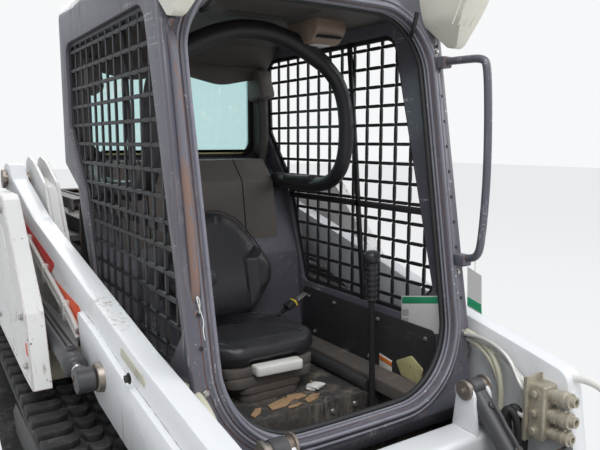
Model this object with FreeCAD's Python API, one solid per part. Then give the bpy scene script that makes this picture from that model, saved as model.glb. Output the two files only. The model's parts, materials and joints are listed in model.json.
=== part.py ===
import FreeCAD, Part
import math
import os

# Compact track loader, millimetres. Z is up, the front faces -Y, the machine's left is +X.
# The origin is on the ground, under the middle of the overall length.

V = FreeCAD.Vector
ARC_FACET = math.radians(40.0)

# Overall machine
LENGTH = 2640.0
FRONT_END = -LENGTH / 2
REAR_END = LENGTH / 2

# Tub, the main frame between the tracks
TUB_HALF = 500.0
TUB_PLATE = 10.0
BELLY = 187.0
TUB_FRONT = FRONT_END + 530.0
TUB_TOP = 395.0
TUB_STEP_FRONT = REAR_END - 920.0
TUB_STEP_REAR = REAR_END - 850.0
FIREWALL_FRONT = REAR_END - 835.0
FIREWALL_HIGH = 1120.0
BUMPER_DEPTH = 80.0
BUMPER_LOW = 290.0
BUMPER_HIGH = 420.0

# Tracks
TRACK_CLEAR = 18.0
TRACK_WIDTH = 320.0
TRACK_IN = TUB_HALF + TRACK_CLEAR
TRACK_OUT = TRACK_IN + TRACK_WIDTH
TRACK_MIDDLE = (TRACK_IN + TRACK_OUT) / 2
TREAD_DEPTH = 22.0
BELT_THICK = 28.0
LUG_COUNT = 52
FRONT_IDLER = (FRONT_END + 570.0, 225.0, 225.0)
REAR_IDLER = (REAR_END - 720.0, 190.0, 190.0)
SPROCKET = (REAR_END - 440.0, 335.0, 225.0)
WHEEL_GAP = 0.5
IDLER_HALF = 70.0
ROLLER_HALF = 80.0
ROLLER_RADIUS = 62.0
ROLLER_STATIONS = (-430.0, -175.0, 80.0, 335.0)
AXLE_RADIUS = 30.0
ROLLER_AXLE = 18.0

# Quick-attach carrier
CARRIER_PIVOT = (FRONT_END + 170.0, 205.0)
CARRIER_PIN_RADIUS = 22.0
CARRIER_HALF = TUB_HALF + 23.0
CARRIER_LOW = 95.0
CARRIER_HIGH = 445.0
CARRIER_SLOPE = 1 / 3
CARRIER_PLATE = 14.0
EAR_THICK = 28.0
WEDGE_RADIUS = 16.0

# Cab
CAB_HALF = TUB_HALF + 5.0
CAB_WALL = 38.0
CAB_FRONT_LOW = FRONT_END + 520.0
CAB_FRONT_HIGH = CAB_FRONT_LOW + 255.0
CAB_REAR = REAR_END - 655.0
CAB_LOW = 470.0
CAB_FLOOR = 405.0
CAB_TOP = 1976.0
ROOF_THICK = 46.0
FLANGE_OUT = 20.0
FLANGE_DEEP = 34.0
CAB_HINGE = (REAR_END - 825.0, 1170.0)
CAB_HINGE_X = 330.0
CAB_HINGE_PIN = 12.0
HINGE_EAR = 28.0
DOOR_HALF = CAB_HALF - 45.0
DOOR_TAPER = 18.0
DOOR_LOW = 525.0
DOOR_HIGH = CAB_TOP - 150.0
DOOR_CORNER = 205.0
DOOR_SILL_CORNER = 262.0
REAR_LIGHT_HALF = CAB_HALF - 95.0
REAR_LIGHT_LOW = 1318.0
REAR_LIGHT_HIGH = CAB_TOP - 186.0
REAR_LIGHT_CORNER = 70.0
GLASS_THICK = 6.0
SCREEN_BAR = 10.0
SCREEN_DEPTH = 8.0
SCREEN_PITCH_Y = 134.0
SCREEN_PITCH_Z = 118.0

# Uprights: an inner tower of two plates and an outer fender box, with the arm's bay between
TOWER_PLATE = 15.0
TOWER_IN = CAB_HALF + 21.0
TOWER_OUT = TOWER_IN + 68.0
BAY_FLOOR = 645.0
BAY_FLOOR_THICK = 10.0
TUB_TOP_REAR = BAY_FLOOR - BAY_FLOOR_THICK
UPRIGHT_REAR = REAR_END - 70.0

# Lift arms, splayed outwards from their front ends
PIVOT = (REAR_END - 260.0, 1205.0)
PIVOT_PIN_RADIUS = 30.0
ARM_IN = CARRIER_HALF + 7.0
ARM_OUT = ARM_IN + 72.0
ARM_SPLAY = 2.4
DOUBLER_THICK = 20.0
LUG_PLATE = 12.0
PIN_HEAD = 14.0
PIN_HEAD_RADIUS = 38.0
CROSS_FRONT = FRONT_END + 330.0
CROSS_REAR = FRONT_END + 450.0
CROSS_LOW = 330.0
CROSS_HIGH = 470.0
RUNNING_FIT = 0.08
SIDE_GAP = 6.0

# Lift cylinders
LIFT_PLANE = ARM_OUT + 103.0
LIFT_BASE = (REAR_END - 440.0, 745.0)
LIFT_EYE = (-350.0, 664.0)
LIFT_BARREL_RADIUS = 34.0
LIFT_BARREL_LENGTH = 1130.0
LIFT_ROD_RADIUS = 21.0
LIFT_PIN_RADIUS = 19.0
LIFT_EYE_WIDTH = 54.0
LIFT_EYE_RADIUS = 38.0
LIFT_ROD_START = 130.0

# Fender boxes, outside the lift cylinders
FENDER_IN = LIFT_PLANE + 45.0
FENDER_OUT = FENDER_IN + 60.0
FENDER_PLATE = 12.0

# Tilt cylinders
TILT_PLANE = 370.0
TILT_BASE = (FRONT_END + 390.0, 600.0)
TILT_EYE = (FRONT_END + 137.0, 330.0)
TILT_BARREL_RADIUS = 32.0
TILT_BARREL_LENGTH = 298.0
TILT_ROD_RADIUS = 17.0
TILT_PIN_RADIUS = 15.0
TILT_EYE_WIDTH = 50.0
TILT_EYE_RADIUS = 30.0
TILT_ROD_START = 78.0
GLAND_PROUD = 4.0

# Seat and seat bar
SEAT_HALF = 245.0
SEAT_BAR_PIVOT = (345.0, 1200.0)
SEAT_BAR_CROSS = (-250.0, CAB_TOP - 201.0)
SEAT_BAR_HALF = CAB_HALF - 95.0
SEAT_BAR_RADIUS = 25.0
SEAT_BAR_HUB = 29.0

# Rear covers
TAILGATE_HALF = TUB_HALF + 14.0
TAILGATE_LOW = 432.0
TAILGATE_HIGH = 1060.0
TAILGATE_THICK = 60.0
TAILGATE_HINGE = (-TAILGATE_HALF - 22.0, REAR_END - 48.0)
TAILGATE_PIN = 7.0
TAILGATE_KNUCKLES = (660.0, 900.0)
SCREEN_LID_HALF = TUB_HALF + 5.0
SCREEN_LID_FRONT = REAR_END - 760.0
SCREEN_LID_LOW = 1085.0
SCREEN_LID_THICK = 50.0

os.makedirs("parts", exist_ok=True)


def on_x(x):
    """Place a side-view point (y, z) at the given x."""
    return lambda a, b: V(x, a, b)


def on_y(y):
    """Place a front-view point (x, z) at the given y."""
    return lambda a, b: V(a, y, b)


def on_z(z):
    """Place a plan-view point (x, y) at the given z."""
    return lambda a, b: V(a, b, z)


def face(corners, place):
    """Flat face from corners (a, b) or (a, b, radius), with a faceted bend where a radius is given."""
    corners = [tuple(c) + (0.0,) * (3 - len(c)) for c in corners]
    points = []
    for i, (a, b, radius) in enumerate(corners):
        if radius == 0.0:
            points.append(place(a, b))
            continue
        here = V(a, b, 0)
        before = V(corners[i - 1][0], corners[i - 1][1], 0) - here
        after_corner = corners[(i + 1) % len(corners)]
        after = V(after_corner[0], after_corner[1], 0) - here
        points += [place(p.x, p.y) for p in bend_points(here, before, after, radius)]
    return Part.Face(Part.makePolygon(points + [points[0]]))


def bend_points(here, before, after, radius):
    """Points of an arc that rounds the corner between two directions, from the first side to the second."""
    before = V(before).normalize()
    after = V(after).normalize()
    half = before.getAngle(after) / 2
    middle = (before + after).normalize()
    centre = here + middle * (radius / math.sin(half))
    first = here + before * (radius / math.tan(half)) - centre
    last = here + after * (radius / math.tan(half)) - centre
    turn = math.pi - 2 * half
    steps = max(1, round(turn / ARC_FACET))
    points = []
    for i in range(steps + 1):
        angle = turn * i / steps
        spread = first * math.sin(turn - angle) + last * math.sin(angle)
        points.append(centre + spread * (1 / math.sin(turn)))
    return points


def side_plate(corners, x_low, x_high):
    """Solid of a side-view outline between two x."""
    return face(corners, on_x(x_low)).extrude(V(x_high - x_low, 0, 0))


def front_plate(corners, y_low, y_high):
    """Solid of a front-view outline between two y."""
    return face(corners, on_y(y_low)).extrude(V(0, y_high - y_low, 0))


def block(x_low, x_high, y_low, y_high, z_low, z_high):
    """Box between six limits."""
    return Part.makeBox(x_high - x_low, y_high - y_low, z_high - z_low, V(x_low, y_low, z_low))


def disc(x_low, x_high, centre, radius):
    """Cylinder along X about a side-view point (y, z)."""
    return Part.makeCylinder(radius, x_high - x_low, V(x_low, centre[0], centre[1]), V(1, 0, 0))


def rod(start, end, radius, sides=12):
    """Straight bar with flat sides between two points."""
    return mitred_tube([start, end], radius, sides)


def drum(x_low, x_high, centre, radius, sides=16):
    """Flat-sided disc along X about a side-view point (y, z)."""
    return rod(V(x_low, centre[0], centre[1]), V(x_high, centre[0], centre[1]), radius, sides)


def mitred_tube(route, radius, sides):
    """Bar with flat sides along a route of points, mitred where it turns."""
    along = V(route[1] - route[0]).normalize()
    across = V(1, 0, 0) if abs(along.x) < 0.9 else V(0, 0, 1)
    u = along.cross(across).normalize()
    w = along.cross(u).normalize()
    angles = [2 * math.pi * (i + 0.5) / sides for i in range(sides)]
    rings = [[route[0] + u * (radius * math.cos(a)) + w * (radius * math.sin(a)) for a in angles]]
    for i in range(1, len(route)):
        along = V(route[i] - route[i - 1]).normalize()
        normal = V(along)
        if i < len(route) - 1:
            normal = (along + V(route[i + 1] - route[i]).normalize()).normalize()
        share = along.dot(normal)
        rings.append([p + along * ((route[i] - p).dot(normal) / share) for p in rings[-1]])
    faces = [Part.Face(Part.makePolygon(ring + [ring[0]])) for ring in (rings[0], rings[-1])]
    for near, far in zip(rings, rings[1:]):
        for j in range(sides):
            k = (j + 1) % sides
            faces.append(Part.Face(Part.makePolygon([near[j], near[k], far[k], far[j], near[j]])))
    solid = Part.makeSolid(Part.makeShell(faces))
    if solid.Volume < 0:
        solid.reverse()
    return solid


def bent_tube(points, radius, bends, sides=8):
    """Bar with flat sides through points, with a bend of the given radius at each inner one."""
    route = [points[0]]
    for i in range(1, len(points) - 1):
        here = points[i]
        bend = bends[i - 1] if isinstance(bends, (list, tuple)) else bends
        route += bend_points(here, points[i - 1] - here, points[i + 1] - here, bend)
    return mitred_tube(route + [points[-1]], radius, sides)


def join(first, *others):
    """One solid out of pieces that touch."""
    return first.fuse(list(others)).removeSplitter() if others else first


def mirrored(shape):
    """The same piece on the machine's right."""
    return shape.mirror(V(0, 0, 0), V(1, 0, 0))


def both_sides(shape):
    """A left piece and its mirror image as two solids of one node."""
    return Part.makeCompound([shape, mirrored(shape)])


def save(name, shape):
    """Write one node."""
    shape.exportStep("parts/" + name + ".step")


def save_sides(name, shape):
    """Write a left piece and its mirror image as two nodes."""
    save(name + "_left", shape)
    save(name + "_right", mirrored(shape))


class Loop:
    """Belt line round wheels given as (y, z, radius), walked by distance."""

    def __init__(self, wheels):
        self.parts = []
        count = len(wheels)
        tangents = []
        for i in range(count):
            (y0, z0, r0), (y1, z1, r1) = wheels[i], wheels[(i + 1) % count]
            span = math.hypot(y1 - y0, z1 - z0)
            normal = math.atan2(z1 - z0, y1 - y0) - math.acos((r0 - r1) / span)
            tangents.append(normal)
        for i in range(count):
            y0, z0, r0 = wheels[i]
            start = tangents[i - 1]
            turn = (tangents[i] - start) % (2 * math.pi)
            self.parts.append(("arc", y0, z0, r0, start, turn, r0 * turn))
            y1, z1, r1 = wheels[(i + 1) % count]
            normal = tangents[i]
            begin = (y0 + r0 * math.cos(normal), z0 + r0 * math.sin(normal))
            end = (y1 + r1 * math.cos(normal), z1 + r1 * math.sin(normal))
            run = math.hypot(end[0] - begin[0], end[1] - begin[1])
            self.parts.append(("line", begin[0], begin[1], end[0], end[1], normal, run))
        self.length = sum(part[-1] for part in self.parts)

    def point(self, distance, proud=0.0):
        """Side-view point at a distance along the loop, moved outwards by proud."""
        distance %= self.length
        for part in self.parts:
            if distance <= part[-1]:
                break
            distance -= part[-1]
        if part[0] == "arc":
            _, y, z, radius, start, turn, run = part
            angle = start + turn * distance / run
            return (y + (radius + proud) * math.cos(angle), z + (radius + proud) * math.sin(angle))
        _, y0, z0, y1, z1, normal, run = part
        share = distance / run
        return (y0 + (y1 - y0) * share + proud * math.cos(normal),
                z0 + (z1 - z0) * share + proud * math.sin(normal))

    def outline(self, inset):
        """Side-view corners of the loop moved inwards by inset, with facets that touch its bends from outside."""
        corners = []
        for part in self.parts:
            if part[0] == "line":
                continue
            _, y, z, radius, start, turn, _ = part
            radius -= inset
            steps = max(2, round(2 * turn / ARC_FACET))
            reach = radius / math.cos(turn / steps / 2)
            for i in range(steps):
                angle = start + turn * (i + 0.5) / steps
                corners.append((y + reach * math.cos(angle), z + reach * math.sin(angle)))
        return corners


def track():
    """Left rubber track: a belt whose outline carries the tread bars."""
    loop = Loop([FRONT_IDLER, REAR_IDLER, SPROCKET])
    pitch = loop.length / LUG_COUNT
    # share of the pitch along the loop, share of the tread depth below the tips
    tooth = ((0.00, 1.0), (0.08, 0.0), (0.62, 0.0), (0.70, 1.0))
    corners = [loop.point((i + along) * pitch, -TREAD_DEPTH * below)
               for i in range(LUG_COUNT) for along, below in tooth]
    outer = face(corners, on_x(TRACK_IN)).extrude(V(TRACK_WIDTH, 0, 0))
    inner = face(loop.outline(TREAD_DEPTH + BELT_THICK), on_x(TRACK_IN - 1))
    return outer.cut(inner.extrude(V(TRACK_WIDTH + 2, 0, 0)))


def wheel(centre, radius, half_width, bore, sides):
    """Track wheel on its axle's bore."""
    body = drum(TRACK_MIDDLE - half_width, TRACK_MIDDLE + half_width, centre, radius, sides)
    return body.cut(drum(TRACK_MIDDLE - half_width - 1, TRACK_MIDDLE + half_width + 1, centre, bore, 6))


def wheel_radius(wheel_row):
    """Radius of a wheel that runs inside the belt."""
    return wheel_row[2] - TREAD_DEPTH - BELT_THICK - WHEEL_GAP


def track_wheels():
    """Front and rear idlers and the bottom rollers of the left side."""
    pieces = []
    for row in (FRONT_IDLER, REAR_IDLER):
        pieces.append(wheel(row[:2], wheel_radius(row), IDLER_HALF, AXLE_RADIUS, 18))
    height = TREAD_DEPTH + BELT_THICK + WHEEL_GAP + ROLLER_RADIUS
    for station in ROLLER_STATIONS:
        pieces.append(wheel((station, height), ROLLER_RADIUS, ROLLER_HALF, ROLLER_AXLE, 10))
    return pieces


def sprocket():
    """Left drive sprocket with its teeth and hub."""
    radius = wheel_radius(SPROCKET)
    teeth = 13
    root = radius - 26.0
    corners = []
    for i in range(teeth):
        # share of the tooth pitch, radius
        for share, reach in ((0.0, root), (0.34, root), (0.44, radius), (0.90, radius)):
            angle = 2 * math.pi * (i + share) / teeth
            corners.append((SPROCKET[0] + reach * math.cos(angle), SPROCKET[1] + reach * math.sin(angle)))
    body = side_plate(corners, TRACK_MIDDLE - 20, TRACK_MIDDLE + 20)
    return join(body, drum(TRACK_MIDDLE + 20, TRACK_MIDDLE + 60, SPROCKET[:2], 95.0, 12))


def track_frame():
    """Left track frame: the beam over the rollers with the rails that carry the wheels, and the drive motor."""
    low = TREAD_DEPTH + BELT_THICK + 2 * ROLLER_RADIUS + 12.0
    high = 330.0
    front = FRONT_IDLER[0] + 190
    rear = REAR_IDLER[0] - 160
    beam = side_plate([(front, low), (rear, low), (rear, high), (front + 40, high), (front, high - 60)],
                      TRACK_MIDDLE - 55, TRACK_MIDDLE + 55)
    clear = 6.0
    for row in (SPROCKET, REAR_IDLER, FRONT_IDLER):
        beam = beam.cut(drum(TRACK_IN, TRACK_OUT, row[:2], wheel_radius(row) + clear, 16))
    pieces = []
    for side in (-1, 1):
        near = TRACK_MIDDLE + side * 88.0
        far = TRACK_MIDDLE + side * 104.0
        rail = side_plate([(FRONT_IDLER[0] - 50, FRONT_IDLER[1] - 40), (front, 120), (REAR_IDLER[0], 120),
                           (REAR_IDLER[0] + 60, 200), (REAR_IDLER[0] - 40, 270), (front, 270),
                           (FRONT_IDLER[0] - 50, FRONT_IDLER[1] + 50)], min(near, far), max(near, far))
        pieces.append(rail)
        web_low, web_high = sorted((TRACK_MIDDLE + side * 50.0, far))
        pieces.append(block(web_low, web_high, front + 20, rear - 60, low + 20, 268))
    height = TREAD_DEPTH + BELT_THICK + WHEEL_GAP + ROLLER_RADIUS
    axles = [drum(TRACK_MIDDLE - 100, TRACK_MIDDLE + 100, row[:2], AXLE_RADIUS, 6)
             for row in (FRONT_IDLER, REAR_IDLER)]
    axles += [drum(TRACK_MIDDLE - 100, TRACK_MIDDLE + 100, (y, height), ROLLER_AXLE, 6) for y in ROLLER_STATIONS]
    brackets = [block(TUB_HALF, TRACK_MIDDLE - 40, y, y + 110, low + 25, 262) for y in (-480.0, 250.0)]
    motor = drum(TUB_HALF, TRACK_MIDDLE - 20, SPROCKET[:2], 88.0)
    return join(beam, *pieces, *axles, *brackets), motor


def tub():
    """Main frame: side plates, belly, front and rear closures, bumper and tie-down eyes."""
    side = [(TUB_FRONT, BELLY + 70, 0), (TUB_FRONT, TUB_TOP, 20), (TUB_STEP_FRONT, TUB_TOP, 30),
            (TUB_STEP_REAR, TUB_TOP_REAR, 20), (UPRIGHT_REAR, TUB_TOP_REAR, 0),
            (UPRIGHT_REAR, BELLY + 90, 30), (UPRIGHT_REAR - 120, BELLY, 30), (TUB_FRONT + 90, BELLY, 30)]
    outer = side_plate(side, -TUB_HALF, TUB_HALF)
    inner = side_plate([(TUB_FRONT + TUB_PLATE, BELLY + 75), (TUB_FRONT + TUB_PLATE, TUB_TOP + 300),
                        (UPRIGHT_REAR + 50, TUB_TOP_REAR + 300), (UPRIGHT_REAR + 50, BELLY + 95),
                        (UPRIGHT_REAR - 115, BELLY + TUB_PLATE), (TUB_FRONT + 92, BELLY + TUB_PLATE)],
                       -TUB_HALF + TUB_PLATE, TUB_HALF - TUB_PLATE)
    shell = outer.cut(inner)
    bumper = side_plate([(UPRIGHT_REAR - 20, BUMPER_LOW), (REAR_END, BUMPER_LOW, 14),
                         (REAR_END, BUMPER_HIGH, 14), (UPRIGHT_REAR - 20, BUMPER_HIGH)],
                        -TUB_HALF - 20, TUB_HALF + 20)
    firewall = block(-TUB_HALF + TUB_PLATE, TUB_HALF - TUB_PLATE, FIREWALL_FRONT,
                     FIREWALL_FRONT + TUB_PLATE, BELLY + TUB_PLATE, TUB_TOP_REAR)
    upper_wall = block(-TUB_HALF + 2, TUB_HALF - 2, FIREWALL_FRONT, FIREWALL_FRONT + TUB_PLATE, TUB_TOP_REAR,
                       FIREWALL_HIGH)
    lip = TUB_HALF - 70
    lips = [block(s * lip - 60, s * lip + 60, TUB_FRONT - 12, TUB_FRONT, BELLY + 90, TUB_TOP - 20)
            for s in (-1, 1)]
    y, z = CAB_HINGE
    lug = [(FIREWALL_FRONT + 1, FIREWALL_HIGH - 60), (y + 22, FIREWALL_HIGH - 60), (y + 22, z + 16, 14),
           (y - 18, z + 16, 12), (y - 18, FIREWALL_HIGH + 10), (FIREWALL_FRONT + 1, FIREWALL_HIGH - 10)]
    hinge = []
    for s in (-1, 1):
        centre = s * CAB_HINGE_X
        for side in (-1, 1):
            near = centre + side * (HINGE_EAR / 2 + 1)
            far = near + side * 10
            hinge.append(side_plate(lug, min(near, far), max(near, far)))
        hinge.append(disc(centre - HINGE_EAR / 2 - 1, centre + HINGE_EAR / 2 + 1, CAB_HINGE, CAB_HINGE_PIN))
    return join(shell, bumper, firewall, upper_wall, *lips, *hinge)


def cab_mounts():
    """Rubber mounts on the tub's side plates, under the cab's corners."""
    x = TUB_HALF - TUB_PLATE
    pads = []
    for s in (-1, 1):
        for y in (CAB_FRONT_LOW + 110, 180.0):
            shelf = block(min(s * x, s * (x - 60)), max(s * x, s * (x - 60)), y - 35, y + 35, TUB_TOP - 30, TUB_TOP - 20)
            foot = V(s * (x - 32), y, TUB_TOP - 20)
            pad = rod(foot, foot + V(0, 0, CAB_FLOOR - 0.3 - foot.z), 24.0, 8)
            pads.append(join(shelf, pad))
    return Part.makeCompound(pads)


def tower_corners():
    """Side-view outline of a tower plate."""
    y, z = PIVOT
    return [(y - 520, TUB_TOP_REAR), (y - 540, 900, 20), (y - 350, 1195, 40), (y - 130, z + 82, 60), (y - 20, z + 105, 30),
            (y + 55, z + 85, 30), (UPRIGHT_REAR - 60, z - 95, 40), (UPRIGHT_REAR, 960, 30),
            (UPRIGHT_REAR, TUB_TOP_REAR)]


def upright():
    """Left upright: tower, bay floor, fender box, cylinder bracket and rear closing plate."""
    y, z = PIVOT
    tower = [side_plate(tower_corners(), low, low + TOWER_PLATE)
             for low in (TOWER_IN, TOWER_OUT - TOWER_PLATE)]
    web = side_plate([(y - 520, TUB_TOP_REAR), (y - 532, 905), (y - 350, 1180), (y - 130, z + 10), (y + 80, z - 85),
                      (UPRIGHT_REAR - 10, 930), (UPRIGHT_REAR - 10, TUB_TOP_REAR)], TOWER_IN + 1, TOWER_OUT - 1)
    floor_low = BAY_FLOOR - BAY_FLOOR_THICK
    floor = block(TUB_HALF - TUB_PLATE, FENDER_OUT, 60, UPRIGHT_REAR, floor_low, BAY_FLOOR)
    floor = floor.cut(block(TUB_HALF - TUB_PLATE - 1, CAB_HALF + 8, 0, FIREWALL_FRONT + 50, floor_low - 1,
                            BAY_FLOOR + 1))
    fender = [(-95, 560), (-10, 810, 30), (365, 1180, 60), (UPRIGHT_REAR - 120, 1180, 60), (UPRIGHT_REAR, 1000, 60),
              (UPRIGHT_REAR + 30, 700, 20), (UPRIGHT_REAR + 30, 470, 30), (UPRIGHT_REAR - 80, 470, 30),
              (UPRIGHT_REAR - 140, 590, 30), (LIFT_BASE[0], 620, 60), (60, 560)]
    shell = side_plate(fender, FENDER_IN, FENDER_OUT)
    pocket = side_plate([(-20, floor_low - 120), (22, 800), (385, 1160), (UPRIGHT_REAR - 130, 1160),
                         (UPRIGHT_REAR - 18, 990), (UPRIGHT_REAR + 12, 690), (UPRIGHT_REAR + 12, 400)],
                        FENDER_IN + FENDER_PLATE, FENDER_OUT - FENDER_PLATE)
    shell = shell.cut(pocket)
    rear = block(TOWER_OUT - 5, FENDER_IN + 5, UPRIGHT_REAR - 12, UPRIGHT_REAR, floor_low, 1000)
    lug_outline = [(LIFT_BASE[0] - 75, BAY_FLOOR - 2), (LIFT_BASE[0] - 50, LIFT_BASE[1] + 20, 30),
                   (LIFT_BASE[0] + 40, LIFT_BASE[1] + 50, 40), (LIFT_BASE[0] + 110, BAY_FLOOR - 2)]
    lugs = []
    for side in (-1, 1):
        near = LIFT_PLANE + side * (LIFT_BARREL_RADIUS + SIDE_GAP)
        far = near + side * LUG_PLATE
        lugs.append(side_plate(lug_outline, min(near, far), max(near, far)))
    reach = LIFT_BARREL_RADIUS + SIDE_GAP
    pin = disc(LIFT_PLANE - reach, LIFT_PLANE + reach, LIFT_BASE, LIFT_PIN_RADIUS)
    ledge = block(SCREEN_LID_HALF - 30, TOWER_IN + 1, SCREEN_LID_FRONT + 120, UPRIGHT_REAR - 120,
                  SCREEN_LID_LOW - 20.3, SCREEN_LID_LOW - 0.3)
    return join(tower[0], tower[1], web, floor, shell, rear, ledge, *lugs, pin)


def tailgate_brackets():
    """Brackets with upright pins on the right tower, for the tailgate's knuckles."""
    x, y = TAILGATE_HINGE
    pieces = []
    for z in TAILGATE_KNUCKLES:
        plate = block(x - 14, x + 14, UPRIGHT_REAR, y + 12, z, z + 14)
        pin = Part.makeCylinder(TAILGATE_PIN, 64, V(x, y, z))
        pieces.append(plate.fuse(pin))
    return pieces


def pivot_pin():
    """Left arm pivot pin, standing out from the tower, with a head outside the arm."""
    head = ARM_OUT + splay_shift(PIVOT[0]) + SIDE_GAP
    pin = disc(TOWER_OUT, head, PIVOT, PIVOT_PIN_RADIUS)
    return join(pin, drum(head, head + PIN_HEAD, PIVOT, PIN_HEAD_RADIUS + 8, 12))


def splay_shift(y):
    """How far the arm's splay has moved it outwards at a station."""
    return math.tan(math.radians(ARM_SPLAY)) * (y - CARRIER_PIVOT[0])


def splayed(shape):
    """The shape turned outwards with the left arm, about its front end."""
    return shape.rotated(V(ARM_IN, CARRIER_PIVOT[0], 0), V(0, 0, 1), -ARM_SPLAY)


def arm_corners():
    """Side-view outline of a lift arm, from the pivot eye forward over the knee to the carrier eye."""
    y, z = PIVOT
    cy, cz = CARRIER_PIVOT
    return [(y - 50, z + 74, 50), (y + 52, z + 74, 50), (y + 84, z - 20, 50), (y + 20, z - 86, 50), (y - 120, z - 170, 80),
            (420, 822, 200), (90, 738, 100), (-130, 655, 60), (-300, 565, 120), (-560, 515, 120), (cy + 350, 505, 60),
            (cy + 270, 445, 60), (cy + 140, 320, 60), (cy + 62, cz - 10, 30), (cy + 20, cz - 66, 30),
            (cy - 66, cz - 40, 40), (cy - 60, cz + 60, 60), (cy - 40, 430, 100), (cy, 682, 50), (cy + 120, 708, 60),
            (-570, 798, 200), (550, 1064, 200), (y - 130, z + 4, 100)]


def lift_arm():
    """Left lift arm: box beam, outer doubler whose top edge is the rib, and the boss for the cylinder's pin."""
    cy = CARRIER_PIVOT[0]
    beam = side_plate(arm_corners(), ARM_IN, ARM_OUT)
    doubler_out = ARM_OUT + DOUBLER_THICK
    doubler = side_plate([(-108, 822, 15), (-150, 650), (-300, 565, 120), (-560, 515, 120), (cy + 350, 505, 60),
                          (cy + 270, 445, 60), (cy + 140, 320, 60), (cy + 50, 330, 30), (cy + 20, 560, 60),
                          (cy + 90, 600, 60), (cy + 270, 650, 60), (-553, 715, 100), (-267, 791, 100)],
                         ARM_OUT, doubler_out)
    arm = splayed(join(beam, doubler))
    face_x = ARM_OUT + splay_shift(LIFT_EYE[0])
    boss = drum(face_x - 10, LIFT_PLANE - LIFT_EYE_WIDTH / 2 - SIDE_GAP, LIFT_EYE, LIFT_EYE_RADIUS + 6)
    arm = join(arm, boss)
    reach = splay_shift(PIVOT[0])
    arm = arm.cut(disc(ARM_IN, ARM_OUT + reach + 10, PIVOT, PIVOT_PIN_RADIUS + RUNNING_FIT))
    return arm.cut(disc(ARM_IN - 8, doubler_out + 10, CARRIER_PIVOT, CARRIER_PIN_RADIUS + RUNNING_FIT))


def crossmember():
    """Box tube between the arms with the tilt cylinders' lugs and pins."""
    end = ARM_IN + splay_shift(CROSS_REAR) + 5
    half = TRACK_IN - 12
    section = [(CROSS_FRONT, CROSS_LOW, 25), (CROSS_REAR, CROSS_LOW, 25), (CROSS_REAR, CROSS_HIGH, 25),
               (CROSS_FRONT, CROSS_HIGH, 25)]
    stubs = side_plate(section, -end, end).common(side_plate(arm_corners(), -end, end))
    beam = splayed(side_plate(arm_corners(), ARM_IN, ARM_OUT))
    tube = join(side_plate(section, -half, half), stubs).cut([beam, mirrored(beam)])
    y, z = TILT_BASE
    lug_corners = [(CROSS_FRONT + 15, CROSS_HIGH - 30), (CROSS_REAR - 15, CROSS_HIGH - 30), (y + 36, z + 10, 20),
                   (y + 20, z + 34, 20), (y - 30, z + 34, 25), (y - 34, z - 20, 20)]
    pieces = []
    for centre in (-TILT_PLANE, TILT_PLANE):
        reach = TILT_BARREL_RADIUS + SIDE_GAP
        for side in (-1, 1):
            near = centre + side * reach
            far = near + side * LUG_PLATE
            pieces.append(side_plate(lug_corners, min(near, far), max(near, far)))
        pieces.append(disc(centre - reach, centre + reach, TILT_BASE, TILT_PIN_RADIUS))
    return join(tube, *pieces)


def along(base, eye):
    """Unit side-view direction from a cylinder's base pin to its rod eye, and the distance."""
    dy, dz = eye[0] - base[0], eye[1] - base[1]
    span = math.hypot(dy, dz)
    return dy / span, dz / span, span


def cylinder(plane, base, eye, radius, length, rod_radius, pin_radius, eye_width, eye_radius, rod_start):
    """Barrel and rod of a hydraulic cylinder that lies in the plane x = plane."""
    dy, dz, span = along(base, eye)

    def at(distance):
        return V(plane, base[0] + dy * distance, base[1] + dz * distance)

    base_eye = drum(plane - radius + 3, plane + radius - 3, base, eye_radius, 12)
    tube = rod(at(eye_radius - 6), at(length - 40), radius)
    gland = rod(at(length - 40), at(length), radius + GLAND_PROUD)
    port = rod(at(eye_radius + 40) + V(0, 0, radius - 5), at(eye_radius + 40) + V(0, 0, radius + 22), 13, 6)
    barrel = join(base_eye, tube, gland, port)
    barrel = barrel.cut(disc(plane - radius - 1, plane + radius + 1, base, pin_radius + RUNNING_FIT))
    barrel = barrel.cut(rod(at(eye_radius + 10), at(length + 5), rod_radius + 0.5))
    shaft = rod(at(rod_start), at(span - eye_radius + 4), rod_radius)
    rod_eye = drum(plane - eye_width / 2, plane + eye_width / 2, eye, eye_radius, 12)
    return barrel, join(shaft, rod_eye)


def lift_pin():
    """Pin of the lift cylinder's rod eye, with its head outside."""
    side = LIFT_PLANE + LIFT_EYE_WIDTH / 2
    pin = drum(LIFT_PLANE - LIFT_EYE_WIDTH / 2 - SIDE_GAP + 1, side, LIFT_EYE, LIFT_PIN_RADIUS, 12)
    return join(pin, drum(side, side + PIN_HEAD / 2, LIFT_EYE, LIFT_EYE_RADIUS - 8, 12))


def carrier_plate():
    """Leaning plate of the carrier with the lip along its top, notched where the tilt cylinders pass."""
    low_y = FRONT_END
    high_y = FRONT_END + CARRIER_SLOPE * (CARRIER_HIGH - CARRIER_LOW)
    thick = CARRIER_PLATE
    plate = side_plate([(low_y, CARRIER_LOW), (low_y + thick, CARRIER_LOW), (high_y + thick, CARRIER_HIGH),
                        (high_y + 36, CARRIER_HIGH + 12), (high_y + 28, CARRIER_HIGH + 24), (high_y, CARRIER_HIGH)],
                       -CARRIER_HALF, CARRIER_HALF)
    # x of the window's middle, half width, top
    for x, half, high in ((-TILT_PLANE, carrier_lug_in(), CARRIER_HIGH + 40), (0.0, 150.0, CARRIER_HIGH - 45),
                          (TILT_PLANE, carrier_lug_in(), CARRIER_HIGH + 40)):
        plate = plate.cut(block(x - half, x + half, FRONT_END - 10, FRONT_END + 260, CARRIER_LOW + 95, high))
    return plate


def carrier_lug_in():
    """Half the room between a pair of cylinder lugs on the carrier."""
    return TILT_BARREL_RADIUS + GLAND_PROUD + SIDE_GAP


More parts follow.
